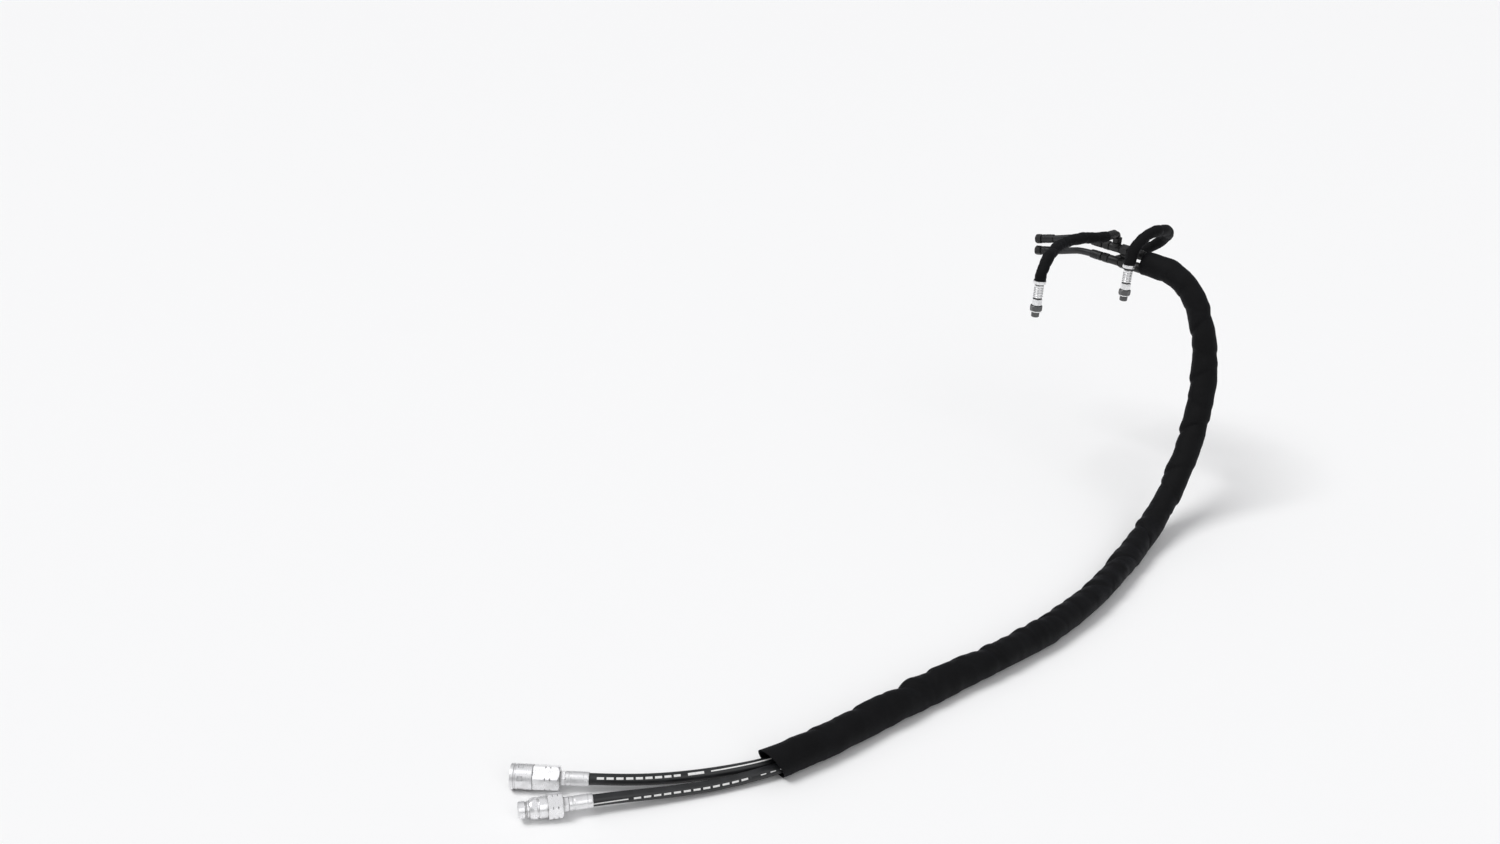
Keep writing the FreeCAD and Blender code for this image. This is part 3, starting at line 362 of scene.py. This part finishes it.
def lower_marks(k, along, round_it):
    """A thin line, a row of plain dashes, then a finer dashed line."""
    where = k.ramp(along, 0.03, 0.15, 0.062, 0.000)
    line = k.math("MULTIPLY", span_mask(k, along, 0.020, 0.082), band_mask(k, round_it, where, 0.0165))
    row = k.math("MULTIPLY", k.math("MULTIPLY", span_mask(k, along, 0.089, 0.270), beat(k, along, 0.0150, 0.72)),
                 band_mask(k, round_it, where, 0.026))
    fine = k.math("MULTIPLY", k.math("MULTIPLY", span_mask(k, along, 0.284, 2.2), beat(k, along, 0.0160, 0.55, 0.1)),
                  band_mask(k, round_it, where, 0.0130))
    return k.math("ADD", k.math("ADD", line, row), fine, clamp=True)


def textile(name, pitch_u=0.0016, turns=96.0):
    """Dense black woven nylon sleeve."""
    k = Nodes(name)
    obj = k.coords()
    uv = k.node("UVMap", uv_map="UVMap").outputs[0]
    sep = k.node("SeparateXYZ")
    k.put(sep.inputs[0], uv)
    along, round_it = sep.outputs[0], sep.outputs[1]
    warp = k.math("SINE", k.math("MULTIPLY", round_it, 2 * math.pi * turns))
    weft = k.math("SINE", k.math("MULTIPLY", along, 2 * math.pi / pitch_u))
    # plain weave: over and under in turn
    over = k.math("MULTIPLY", warp, weft)
    cell = k.math("ADD", k.math("ABSOLUTE", warp), k.math("ABSOLUTE", weft))
    weave = k.math("ADD", k.math("MULTIPLY", over, 0.6), k.math("MULTIPLY", cell, 0.4))
    cloudy = k.noise(obj, 22.0, 4.0, 0.6)
    lint = k.noise(obj, 260.0, 4.0, 0.7)
    col = k.mix(k.ramp(cloudy, 0.35, 0.72), rgb(0.0020, 0.0020, 0.0023), rgb(0.0056, 0.0057, 0.0063))
    # painted highlight: the raised threads of the weave are lightened
    col = k.mix(k.math("MULTIPLY", k.ramp(weave, 0.2, 1.0), 0.35), col, rgb(0.0086, 0.0088, 0.0098))
    col = k.mix(k.math("MULTIPLY", k.ramp(lint, 0.66, 0.80), 0.25), col, rgb(0.026))
    height = k.math("ADD", weave, k.math("MULTIPLY", k.noise(obj, 420.0, 3.0, 0.6), 0.7))
    k.set(Base_Color=col, Roughness=k.ramp(cloudy, 0.3, 0.7, 0.60, 0.76), Specular_IOR_Level=0.11,
          Normal=k.bump(height, 0.45, 0.00035))
    k.bsdf.inputs["Sheen Weight"].default_value = 0.026
    k.bsdf.inputs["Sheen Roughness"].default_value = 0.45
    k.bsdf.inputs["Sheen Tint"].default_value = (0.75, 0.80, 1.0, 1.0)
    return k.mat


def plated(name, axis=(0, 0, 1), origin=(0, 0, 0), base=0.74, rough=0.24, pitch=0.0004, tone=(1.0, 1.0, 1.01), bevel=0.0003, metal=0.72):
    """Bright plated steel, turned about an axis, with painted shade darkening its crevices."""
    k = Nodes(name)
    obj = k.coords()
    away = k.node("VectorMath", operation="SUBTRACT")
    k.put(away.inputs[0], obj)
    away.inputs[1].default_value = origin
    dot = k.node("VectorMath", operation="DOT_PRODUCT")
    k.put(dot.inputs[0], away.outputs[0])
    dot.inputs[1].default_value = axis
    line = dot.outputs["Value"]
    one = k.node("TexNoise", noise_dimensions="1D")
    k.put(one.inputs["W"], line)
    one.inputs["Scale"].default_value = 1.0 / pitch
    one.inputs["Detail"].default_value = 2.0
    smudge = k.noise(obj, 70.0, 5.0, 0.62)
    spots = k.noise(obj, 900.0, 2.0, 0.5)
    a = tuple(base * t for t in tone)
    b = tuple(base * 0.80 * t for t in tone)
    col = k.mix(k.ramp(smudge, 0.40, 0.75), rgb(*a), rgb(*b))
    col = k.mix(k.math("MULTIPLY", k.ramp(spots, 0.64, 0.74), 0.35), col, rgb(base * 0.55))
    # painted shade: colour darkened towards near black where ambient occlusion finds close surfaces, in gaps, grooves
    # and under parts
    painted_crevice_shade = k.node("AmbientOcclusion", samples=8)
    painted_crevice_shade.inputs["Distance"].default_value = 0.0045
    col = k.mix(k.ramp(painted_crevice_shade.outputs["AO"], 0.34, 0.96, 0.96, 0.0), col, rgb(0.035, 0.033, 0.030))
    roughness = k.math("ADD", k.ramp(smudge, 0.30, 0.75, rough - 0.04, rough + 0.12),
                       k.math("MULTIPLY", k.ramp(one.outputs[0], 0.35, 0.65), 0.06))
    edge = k.node("Bevel", samples=6)
    edge.inputs["Radius"].default_value = bevel
    return k.set(Base_Color=col, Roughness=roughness, Metallic=metal,
                 Normal=k.bump(one.outputs[0], 0.10, 0.00006, edge.outputs[0]))


def blackened(name, base=0.012, rough=0.42):
    """Dark coated steel with softly rounded edges."""
    k = Nodes(name)
    obj = k.coords()
    mottled = k.noise(obj, 90.0, 5.0, 0.6)
    grain = k.noise(obj, 1400.0, 2.0, 0.5)
    edge = k.node("Bevel", samples=6)
    edge.inputs["Radius"].default_value = 0.0004
    col = k.mix(k.ramp(mottled, 0.40, 0.72), rgb(base, base, base * 1.06), rgb(base * 2.2, base * 2.2, base * 2.3))
    return k.set(Base_Color=col, Roughness=k.ramp(mottled, 0.3, 0.7, rough - 0.06, rough + 0.12), Metallic=0.35,
                 Normal=k.bump(grain, 0.12, 0.00008, edge.outputs[0]))


def woven_wire(name):
    k = Nodes(name)
    obj = k.coords()
    w = k.noise(obj, 800.0, 3.0, 0.6)
    col = k.mix(w, rgb(0.42, 0.34, 0.18), rgb(0.60, 0.52, 0.33))
    return k.set(Base_Color=col, Roughness=0.4, Metallic=1.0, Normal=k.bump(w, 0.4, 0.0002))


def dull_rubber(name, base=0.014):
    k = Nodes(name)
    obj = k.coords()
    w = k.noise(obj, 300.0, 3.0, 0.6)
    col = k.mix(w, rgb(base * 0.8), rgb(base * 1.5))
    return k.set(Base_Color=col, Roughness=k.ramp(w, 0.3, 0.7, 0.5, 0.65), Normal=k.bump(w, 0.15, 0.0001))


def wear(names, mat):
    for n in names:
        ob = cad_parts[n]
        ob.data.materials.clear()
        ob.data.materials.append(mat)


HERE_F = (AF[0], AF[1], 0.0)
HERE_M = (AM[0], AM[1], 0.0)
ZINC_F = plated("female_plate", HERE_F, base=0.93)
ZINC_M = plated("male_plate", HERE_M, base=0.93)
ZINC_FER_F = plated("female_ferrule_plate", HERE_F, rough=0.28, base=0.88)
ZINC_FER_M = plated("male_ferrule_plate", HERE_M, rough=0.28, base=0.88)
ZINC_PORT = plated("port_plate", (0, 0, 1), base=0.86, rough=0.22, metal=0.86)
# adaptors much darker than the other port fittings: partly a darker plate, partly painted shade standing for the
# shadow under the swivel nuts
ADAPTOR_TONE_AND_SHADE = plated("port_adaptor_plate", (0, 0, 1), base=0.13, rough=0.30, metal=0.85)
GROUND_F = plated("ground_steel_female", HERE_F, base=0.62, rough=0.18, pitch=0.0002)
GROUND_M = plated("ground_steel_male", HERE_M, base=0.62, rough=0.18, pitch=0.0002)
BLACK = blackened("black_fitting_coat")
BRAID = woven_wire("brass_plated_wire")
LINER = dull_rubber("inner_rubber")

wear(["female_coupler_body", "locking_sleeve", "female_hose_insert"], ZINC_F)
wear(["male_coupler_body", "male_hose_insert"], ZINC_M)
wear(["female_coupler_ferrule"], ZINC_FER_F)
wear(["male_coupler_ferrule"], ZINC_FER_M)
wear(["locking_sleeve_race", "valve_sleeve", "valve_stem", "locking_balls", "sleeve_retaining_ring"], GROUND_F)
wear(["male_poppet", "poppet_guide"], GROUND_M)
wear(["base_port_nut", "rod_port_nut", "port_inserts", "port_ferrules", "port_seal_rings", "sleeve_band_clamps"], ZINC_PORT)
wear(["base_port_adaptor", "rod_port_adaptor"], ADAPTOR_TONE_AND_SHADE)
wear(["upper_tee", "lower_tee", "tee_main_nuts", "tee_main_inserts", "tee_main_ferrules", "branch_elbow", "tee_branch_nuts",
      "tee_branch_inserts", "tee_branch_ferrules", "far_upper_swivel_nut", "far_lower_swivel_nut", "far_inserts",
      "far_ferrules"], BLACK)
wear(["upper_hose_wire_braid", "lower_hose_wire_braid", "branch_wire_braids"], BRAID)
wear(["upper_hose_liner", "lower_hose_liner", "branch_hose_liners", "stem_seal", "bore_seal", "nose_seal", "port_seal_lips"], LINER)

# -------------------------------------------------------------------- cords
UPPER_RUBBER = rubber("upper_hose_rubber", upper_marks)
LOWER_RUBBER = rubber("lower_hose_rubber", lower_marks)
BRANCH_RUBBER = rubber("branch_hose_rubber")


def hose(name, route, radius, mat, exit_mm, length, far_end, stands_for, with_pieces=(), start_at_end=False, **more):
    pts = spline_points(route)
    ob, c, s = tube(name, pts, radius, sides=32 if radius > 0.008 else 24, step=0.004, **more)
    ob.data.materials.append(mat)
    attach(ob, BODY)
    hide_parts(*stands_for)
    return ob, pts


upper_hose, UPPER_LINE = hose(
    "upper_hose", UPPER_HOSE, 0.00875, UPPER_RUBBER, (38, -6, 84), 2.116, "connector",
    ["upper_hose_cover", "upper_hose_wire_braid", "upper_hose_liner"],
    ["female_coupler_body", "locking_sleeve", "valve_sleeve", "valve_stem", "female_hose_insert", "female_coupler_ferrule"],
    start_at_end=True)
lower_hose, LOWER_LINE = hose(
    "lower_hose", LOWER_HOSE, 0.00875, LOWER_RUBBER, (38, -8, 55), 2.113, "connector",
    ["lower_hose_cover", "lower_hose_wire_braid", "lower_hose_liner"],
    ["male_coupler_body", "male_poppet", "male_hose_insert", "male_coupler_ferrule"],
    start_at_end=True)
loop_hose, LOOP_LINE = hose(
    "loop_hose", LOOP_HOSE, 0.0075, BRANCH_RUBBER, (99.5, 60, 55), 0.365, "object",
    ["loop_hose_cover", "branch_wire_braids", "branch_hose_liners"])
port_branch_hose, PORT_LINE = hose(
    "port_branch_hose", PORT_BRANCH, 0.0075, BRANCH_RUBBER, (-5, 62, 117), 0.325, "object",
    ["port_branch_hose_cover"])
far_upper_hose, FU_LINE = hose(
    "far_upper_hose", FAR_UPPER, 0.0075, BRANCH_RUBBER, (38, 123, 84), 0.148, "fitting",
    ["far_upper_hose_cover"], ["far_upper_swivel_nut", "far_ferrules"])
far_lower_hose, FL_LINE = hose(
    "far_lower_hose", FAR_LOWER, 0.0075, BRANCH_RUBBER, (38, 121, 55), 0.145, "fitting",
    ["far_lower_hose_cover"], ["far_lower_swivel_nut"])

# ------------------------------------------------------------------ sleeves
TEXTILE = textile("woven_sleeve", 0.0016, 96.0)
TEXTILE_SMALL = textile("woven_branch_sleeve", 0.0014, 52.0)


def layered_noise(s, th, seed, waves, around=3):
    """Smooth uneven field on a tube: sum of turned waves."""
    r = np.random.RandomState(seed)
    f = np.zeros((len(s), len(th)))
    for length, amp in waves:
        for _ in range(5):
            turn = r.randint(-around, around + 1)
            f += amp * 0.45 * np.sin(2 * np.pi * s[:, None] / (length * (0.65 + 0.7 * r.rand())) + turn * th[None]
                                     + 6.2832 * r.rand())
    return f


def pleat(s, th, inner, outer, deep, slow=0.015, fast=0.0034, swell=0.34):
    """One pleat over the seen half of a tube, from its inner edge (0) to its outer edge (pi).

    inner and outer are its places along the tube at those edges; deep holds its depth at the
    inner edge, the middle, and the outer edge. The cloth sinks slowly into the pleat and stands
    up sharply behind it.
    """
    d = np.angle(np.exp(1j * (th - np.pi / 2)))                     # 0 faces forward
    across = np.clip((d + np.pi / 2) / np.pi, -0.5, 1.5)
    place = inner + (outer - inner) * across + 0.004 * np.sin(across * 5.0 + inner * 60.0)
    depth = np.interp(across, [-0.42, -0.2, 0.0, 0.28, 0.55, 1.0, 1.2, 1.42],
                      [0.0, 0.55 * deep[0], deep[0], 0.5 * (deep[0] + deep[1]), deep[1], deep[2], 0.55 * deep[2], 0.0])
    x = s[:, None] - place[None]
    valley = np.where(x < 0, np.exp(-np.abs(x) / slow), np.exp(-(x / fast) ** 2))
    hump = np.exp(-((x - 0.017) / 0.013) ** 2)
    return -depth[None] * (valley - swell * hump)


def clear_of(V, centres, tangents, line, gap):
    """Move the cloth out of a hose: no ring point nearer than gap to the hose's centre line."""
    tree_s = arc(line)
    fine = at(line, np.linspace(0.0, tree_s[-1], 3000))
    out = V.copy()
    for i in range(len(centres)):
        rel = (fine - centres[i]) @ tangents[i]
        near = np.where(np.abs(rel) < 0.02)[0]
        if not len(near):
            continue
        dist = np.linalg.norm(fine[near] - centres[i], axis=1)
        best = near[np.argsort(np.abs(rel[near]) + 0.3 * dist)[0]]
        p = fine[best]
        if np.linalg.norm(p - centres[i]) > 0.05:
            continue
        away = V[i] - p
        away -= (away @ tangents[i])[:, None] * tangents[i]
        d = np.linalg.norm(away, axis=1)
        push = np.clip(gap - d, 0.0, None)
        out[i] = V[i] + away / np.maximum(d, 1e-6)[:, None] * push[:, None]
    return out


def seen_side(c):
    """Frame with its first side at the edge that the photograph shows on the left."""
    t = unit(np.gradient(c, axis=0))
    t = soften(t, 6)
    v = np.array(VIEW)
    w = unit(np.cross(v, t))
    return unit(t), w, np.cross(unit(t), w)


sleeve_line = spline_points(MAIN_SLEEVE)
total = arc(sleeve_line)[-1]
S = np.linspace(0.0, total, int(total / 0.0023))
TH = np.linspace(0.0, 2 * np.pi, 72, endpoint=False)
C = at(sleeve_line, S)
T, W, N = seen_side(C)
# seen width along the sleeve, in millimetres: wide and narrow stretches
WIDE = np.interp(S, [0.0, 0.06, 0.14, 0.21, 0.262, 0.30, 0.39, 0.45, 0.52, 0.62, 0.70, 0.76, 0.84, 0.90, 0.95, 1.03, 1.10, 1.20,
                     1.32, 1.44, 1.53, 1.60, 1.66, 1.77],
                 [51, 50.5, 52, 54.5, 50.5, 55, 55, 48.5, 49, 51, 49.5, 45.5, 45, 44, 48, 50, 48, 50, 53.5, 54.5, 52, 47, 50, 51])
HALF_A = soften(WIDE / 2000.0 + 0.0004, 14)
HALF_B = np.clip(0.0506 - HALF_A, 0.0225, 0.0268)
PLEATS = [
    # inner place, outer place, depth at inner edge, middle and outer edge
    (0.040, 0.075, (0.0012, 0.0004, 0.0)), (0.087, 0.120, (0.0024, 0.0006, 0.0)),
    (0.124, 0.098, (0.0026, 0.0005, 0.0)), (0.181, 0.215, (0.0036, 0.0010, 0.0002)),
    (0.232, 0.212, (0.0016, 0.0005, 0.0)), (0.281, 0.316, (0.0085, 0.0018, 0.0006)),
    (0.334, 0.318, (0.0028, 0.0008, 0.0004)), (0.402, 0.445, (0.0016, 0.0006, 0.0)),
    (0.468, 0.500, (0.0044, 0.0012, 0.0)), (0.497, 0.470, (0.0020, 0.0004, 0.0)),
    (0.545, 0.590, (0.0022, 0.0009, 0.0)), (0.586, 0.566, (0.0018, 0.0004, 0.0)),
    (0.633, 0.672, (0.0042, 0.0012, 0.0)), (0.668, 0.700, (0.0018, 0.0006, 0.0)),
    (0.712, 0.690, (0.0028, 0.0010, 0.0)), (0.748, 0.775, (0.0016, 0.0008, 0.0)),
    (0.794, 0.838, (0.0048, 0.0016, 0.0)), (0.842, 0.822, (0.0022, 0.0008, 0.0)),
    (0.880, 0.905, (0.0024, 0.0010, 0.0004)), (0.920, 0.962, (0.0056, 0.0020, 0.0005)),
    (0.990, 0.975, (0.0030, 0.0010, 0.0006)), (1.064, 1.020, (0.0060, 0.0024, 0.0014)),
    (1.118, 1.148, (0.0016, 0.0014, 0.0026)), (1.201, 1.172, (0.0048, 0.0022, 0.0026)),
    (1.236, 1.262, (0.0034, 0.0010, 0.0004)), (1.288, 1.262, (0.0014, 0.0010, 0.0008)),
    (1.336, 1.366, (0.0056, 0.0026, 0.0028)), (1.402, 1.388, (0.0020, 0.0010, 0.0012)),
    (1.448, 1.480, (0.0030, 0.0014, 0.0006)), (1.515, 1.500, (0.0026, 0.0016, 0.0018)),
    (1.556, 1.590, (0.0038, 0.0024, 0.0020)), (1.604, 1.588, (0.0034, 0.0024, 0.0030)),
    (1.650, 1.670, (0.0018, 0.0012, 0.0010)), (1.704, 1.690, (0.0014, 0.0008, 0.0006))]
bulk = layered_noise(S, TH, 11, [(0.130, 0.00055), (0.055, 0.00042), (0.024, 0.00016)], 2)
uneven = np.random.RandomState(31)
for inner, outer, deep in PLEATS:
    a, b, c_ = uneven.rand(3)
    bulk += pleat(S, TH, inner, outer, tuple(d * (0.62 + 0.76 * a) for d in deep), 0.009 + 0.015 * b, 0.0026 + 0.0026 * c_,
                  0.22 + 0.26 * uneven.rand())
# hidden half: shallow, lazier folds
hidden = np.clip(-np.sin(TH), 0.0, 1.0)[None]
r = np.random.RandomState(5)
for place in np.cumsum(0.045 + 0.05 * r.rand(26)):
    x = (S[:, None] - place - 0.012 * np.sin(TH + 6.28 * r.rand())[None])
    bulk -= 0.0022 * (0.4 + 0.6 * r.rand()) * hidden * (np.where(x < 0, np.exp(-np.abs(x) / 0.012), np.exp(-(x / 0.004) ** 2))
                                                   - 0.35 * np.exp(-((x - 0.018) / 0.012) ** 2))
ends = np.clip(np.minimum(S, total - S) / 0.03, 0.0, 1.0)[:, None]
bulk *= 0.25 + 0.75 * ends
ca, sa = np.cos(TH)[None], np.sin(TH)[None]
V = C[:, None] + ((HALF_A[:, None] + bulk) * ca)[..., None] * W[:, None] + ((HALF_B[:, None] + bulk) * sa)[..., None] * N[:, None]
# the mouth is cut on the slant and its far edge stands forward
slant = -(0.0030 + 0.0120 * np.cos(TH))[None] * np.exp(-S / 0.055)[:, None]
V = V + slant[..., None] * T[:, None]
V = clear_of(V, C, T, UPPER_LINE, 0.0103)
V = clear_of(V, C, T, LOWER_LINE, 0.0103)
low = FLOOR + 0.0009
V[..., 2] = np.where(V[..., 2] < low + 0.003, low + 0.003 * np.exp(np.clip((V[..., 2] - low - 0.003) / 0.003, -8.0, 0.0)), V[..., 2])
V[1:-1] = 0.25 * V[:-2] + 0.5 * V[1:-1] + 0.25 * V[2:]
main_sleeve = rings_to_mesh("main_sleeve_cloth", V, S)
solid = main_sleeve.modifiers.new("wall", "SOLIDIFY")
solid.thickness = 0.0012
solid.offset = -1.0
main_sleeve.data.materials.append(TEXTILE)
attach(main_sleeve, BODY)
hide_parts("main_sleeve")


def branch_sleeve(name, route, node, hose_line, seed, pleats, radius=0.0121):
    pts = spline_points(route)
    total = arc(pts)[-1]
    s = np.linspace(0.0, total, int(total / 0.0016))
    th = np.linspace(0.0, 2 * np.pi, 48, endpoint=False)
    c = at(pts, s)
    t, w, n = seen_side(c)
    near_end = np.clip(np.minimum(s, total - s) / 0.016, 0.0, 1.0)[:, None]
    f = layered_noise(s, th, seed, [(0.060, 0.00038), (0.024, 0.00022), (0.011, 0.00008)], 2)
    for inner, outer, deep in pleats:
        f += pleat(s, th, inner, outer, deep, 0.0065, 0.0018, 0.36)
    r = np.random.RandomState(seed + 50)
    for place in np.cumsum(0.018 + 0.022 * r.rand(int(total / 0.028))):
        x = s[:, None] - place - 0.004 * np.sin(th + 6.28 * r.rand())[None]
        f -= 0.0009 * np.clip(-np.sin(th), 0.0, 1.0)[None] * (np.where(x < 0, np.exp(-np.abs(x) / 0.006), np.exp(-(x / 0.002) ** 2)))
    f = f * (0.2 + 0.8 * near_end) - 0.0009 * (1.0 - near_end)
    V = c[:, None] + ((radius + f) * np.cos(th)[None])[..., None] * w[:, None] + ((radius + f) * np.sin(th)[None])[..., None] * n[:, None]
    V = clear_of(V, c, t, hose_line, 0.0086)
    V[1:-1] = 0.25 * V[:-2] + 0.5 * V[1:-1] + 0.25 * V[2:]
    ob = rings_to_mesh(name, V, s)
    m = ob.modifiers.new("wall", "SOLIDIFY")
    m.thickness = 0.0010
    m.offset = -1.0
    ob.data.materials.append(TEXTILE_SMALL)
    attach(ob, BODY)
    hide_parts(node)
    return ob


loop_sleeve = branch_sleeve("loop_sleeve_cloth", LOOP_SLEEVE, "loop_sleeve", LOOP_LINE, 21, [
    (0.030, 0.042, (0.0012, 0.0006, 0.0004)), (0.062, 0.054, (0.0016, 0.0009, 0.0004)), (0.090, 0.100, (0.0020, 0.0010, 0.0008)),
    (0.118, 0.110, (0.0016, 0.0008, 0.0010)), (0.150, 0.162, (0.0014, 0.0007, 0.0006)), (0.188, 0.180, (0.0018, 0.0009, 0.0012)),
    (0.222, 0.235, (0.0014, 0.0009, 0.0012)), (0.252, 0.246, (0.0012, 0.0008, 0.0012)), (0.280, 0.286, (0.0010, 0.0006, 0.0006))])
port_sleeve = branch_sleeve("port_branch_sleeve_cloth", PORT_SLEEVE, "port_branch_sleeve", PORT_LINE, 22, [
    (0.028, 0.040, (0.0012, 0.0006, 0.0006)), (0.066, 0.058, (0.0014, 0.0008, 0.0010)), (0.104, 0.116, (0.0012, 0.0007, 0.0010)),
    (0.142, 0.134, (0.0010, 0.0007, 0.0014)), (0.176, 0.186, (0.0010, 0.0009, 0.0018)), (0.204, 0.198, (0.0008, 0.0008, 0.0018)),
    (0.228, 0.236, (0.0010, 0.0008, 0.0014)), (0.252, 0.250, (0.0008, 0.0005, 0.0006))])

# ------------------------------------------------------ ferrules at the ports
def ribbed_ferrules(name, centres, base, top, rad, neck, cover):
    """Crimped shells: ribs with narrow grooves between them, and faint flats left by the eight dies."""
    line = [(neck, base), (rad - 0.75, base), (rad - 0.25, base + 0.22), (rad, base + 0.7), (rad, base + 2.6)]
    z = base + 2.9
    while z < top - 4.2:
        line += [(rad - 0.10, z), (rad - 0.85, z + 0.42), (rad - 0.95, z + 0.70), (rad - 0.85, z + 0.98), (rad - 0.10, z + 1.40),
                 (rad - 0.02, z + 1.75), (rad - 0.02, z + 3.15)]
        z += 3.55
    line += [(rad - 0.10, top - 1.5), (rad - 0.45, top - 0.5), (rad - 0.9, top), (cover, top), (cover, base + 2.5), (neck, base + 2.5)]
    line = np.array(line)
    th = np.linspace(0.0, 2 * np.pi, 96, endpoint=False)
    crimp = np.clip((line[:, 1] - base - 3.0) / 1.5, 0.0, 1.0) * np.clip((top - 2.0 - line[:, 1]) / 1.5, 0.0, 1.0) * (line[:, 0] > cover + 0.6)
    verts, faces = [], []
    n, m = len(line), len(th)
    for cx, cy, turn in centres:
        first = len(verts)
        for j in range(n):
            r = line[j, 0] - 0.13 * crimp[j] * (0.5 + 0.5 * np.cos(8 * (th + turn))) ** 3
            verts += [((cx + a) / 1000.0, (cy + b) / 1000.0, line[j, 1] / 1000.0) for a, b in zip(r * np.cos(th), r * np.sin(th))]
        for j in range(n):
            a, b = first + j * m, first + ((j + 1) % n) * m
            faces += [(a + i, a + (i + 1) % m, b + (i + 1) % m, b + i) for i in range(m)]
    me = bpy.data.meshes.new(name)
    me.from_pydata(verts, [], faces)
    me.polygons.foreach_set("use_smooth", [True] * len(faces))
    me.update()
    ob = link(bpy.data.objects.new(name, me))
    me.materials.append(ZINC_PORT)
    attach(ob, BODY)
    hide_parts("port_ferrules")
    return ob


ribbed_ferrules("port_ferrules_ribbed", [(0.0, 0.0, 0.1), (-243.5, 52.0, 0.5)], 30.65, 58.65, 9.9, 7.3, 7.5)

# ------------------------------------------------------------------ springs
def spring(name, origin, axis, mean, wire, turns, low, high, node, mat):
    """Round-wire compression spring with closed ends."""
    z = np.array([axis[0], axis[1], 0.0])
    x = np.array([-axis[1], axis[0], 0.0])
    y = np.array([0.0, 0.0, 1.0])
    count = 40 * turns
    k = np.linspace(0.0, 1.0, count + 1)
    pitch = np.clip(np.minimum(k, 1.0 - k) * turns / 0.9, 0.12, 1.0)
    climb = np.r_[0.0, np.cumsum(0.5 * (pitch[1:] + pitch[:-1]))]
    climb /= climb[-1]
    t = 2.0 * np.pi * turns * k
    place = low + wire + (high - low - 2.0 * wire) * climb
    c = (np.array(origin)[None] + mean * np.cos(t)[:, None] * x + mean * np.sin(t)[:, None] * y + place[:, None] * z) / 1000.0
    tan = unit(np.gradient(c, axis=0))
    side = unit(np.cos(t)[:, None] * x + np.sin(t)[:, None] * y)
    up = np.cross(tan, side)
    th = np.linspace(0.0, 2 * np.pi, 12, endpoint=False)
    V = c[:, None] + wire / 1000.0 * (np.cos(th)[None, :, None] * side[:, None] + np.sin(th)[None, :, None] * up[:, None])
    V = np.concatenate([np.repeat(c[:1, None], 12, 1), V, np.repeat(c[-1:, None], 12, 1)])
    ob = rings_to_mesh(name, V)
    ob.data.materials.append(mat)
    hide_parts(node)
    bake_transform(ob)
    return ob


FACE_F = ahead(EF, AF, -117.0)
NOSE_M = ahead(EM, AM, -108.0)
spring("valve_spring_wire", FACE_F, AF, 9.7, 0.75, 6, 10.7, 47.8, "valve_spring", GROUND_F)
spring("locking_spring_wire", FACE_F, AF, 16.3, 0.55, 4, 20.4, 34.2, "locking_sleeve_spring", GROUND_F)
spring("poppet_spring_wire", NOSE_M, AM, 6.4, 0.7, 6, 16.4, 41.8, "poppet_spring", GROUND_M)

# ---------------------------------------------------------- floor and light
me = bpy.data.meshes.new("floor")
me.from_pydata([(-500, -500, FLOOR), (500, -500, FLOOR), (500, 500, FLOOR), (-500, 500, FLOOR)], [], [(0, 1, 2, 3)])
floor = link(bpy.data.objects.new("floor", me))
k = Nodes("pale_floor")
k.set(Base_Color=rgb(0.90), Roughness=0.9, Specular_IOR_Level=0.1)
me.materials.append(k.mat)

world = bpy.data.worlds.new("studio")
scene.world = world
world.use_nodes = True
wt = world.node_tree
back = wt.nodes["Background"]
coord = wt.nodes.new("ShaderNodeTexCoord")
split = wt.nodes.new("ShaderNodeSeparateXYZ")
sky = wt.nodes.new("ShaderNodeValToRGB")
wt.links.new(coord.outputs["Generated"], split.inputs[0])
wt.links.new(split.outputs[2], sky.inputs[0])
wt.links.new(sky.outputs[0], back.inputs[0])
sky.color_ramp.elements[0].position = 0.02
sky.color_ramp.elements[0].color = (0.20, 0.205, 0.21, 1.0)
sky.color_ramp.elements[1].position = 0.80
sky.color_ramp.elements[1].color = (0.98, 0.98, 1.0, 1.0)
mid = sky.color_ramp.elements.new(0.32)
mid.color = (0.34, 0.345, 0.35, 1.0)
back.inputs[1].default_value = 0.62
# behind everything, a plain pale backdrop
pale = wt.nodes.new("ShaderNodeBackground")
pale.inputs[0].default_value = (0.93, 0.93, 0.935, 1.0)
seen = wt.nodes.new("ShaderNodeLightPath")
choose = wt.nodes.new("ShaderNodeMixShader")
wt.links.new(seen.outputs["Is Camera Ray"], choose.inputs[0])
wt.links.new(back.outputs[0], choose.inputs[1])
wt.links.new(pale.outputs[0], choose.inputs[2])
wt.links.new(choose.outputs[0], wt.nodes["World Output"].inputs[0])


def sun(name, rise, turn, strength, angle):
    """Wide soft light, so that the floor is lit alike everywhere."""
    d = bpy.data.lights.new(name, "SUN")
    d.energy = strength
    d.angle = math.radians(angle)
    ob = link(bpy.data.objects.new(name, d))
    a, e = math.radians(turn), math.radians(rise)
    away = Vector((math.cos(a) * math.cos(e), math.sin(a) * math.cos(e), math.sin(e)))
    ob.rotation_euler = away.to_track_quat("Z", "Y").to_euler()
    return ob


sun("key", 58.0, 150.0, 1.75, 26.0)
sun("fill", 38.0, -105.0, 0.55, 50.0)
scene.view_settings.view_transform = "Standard"
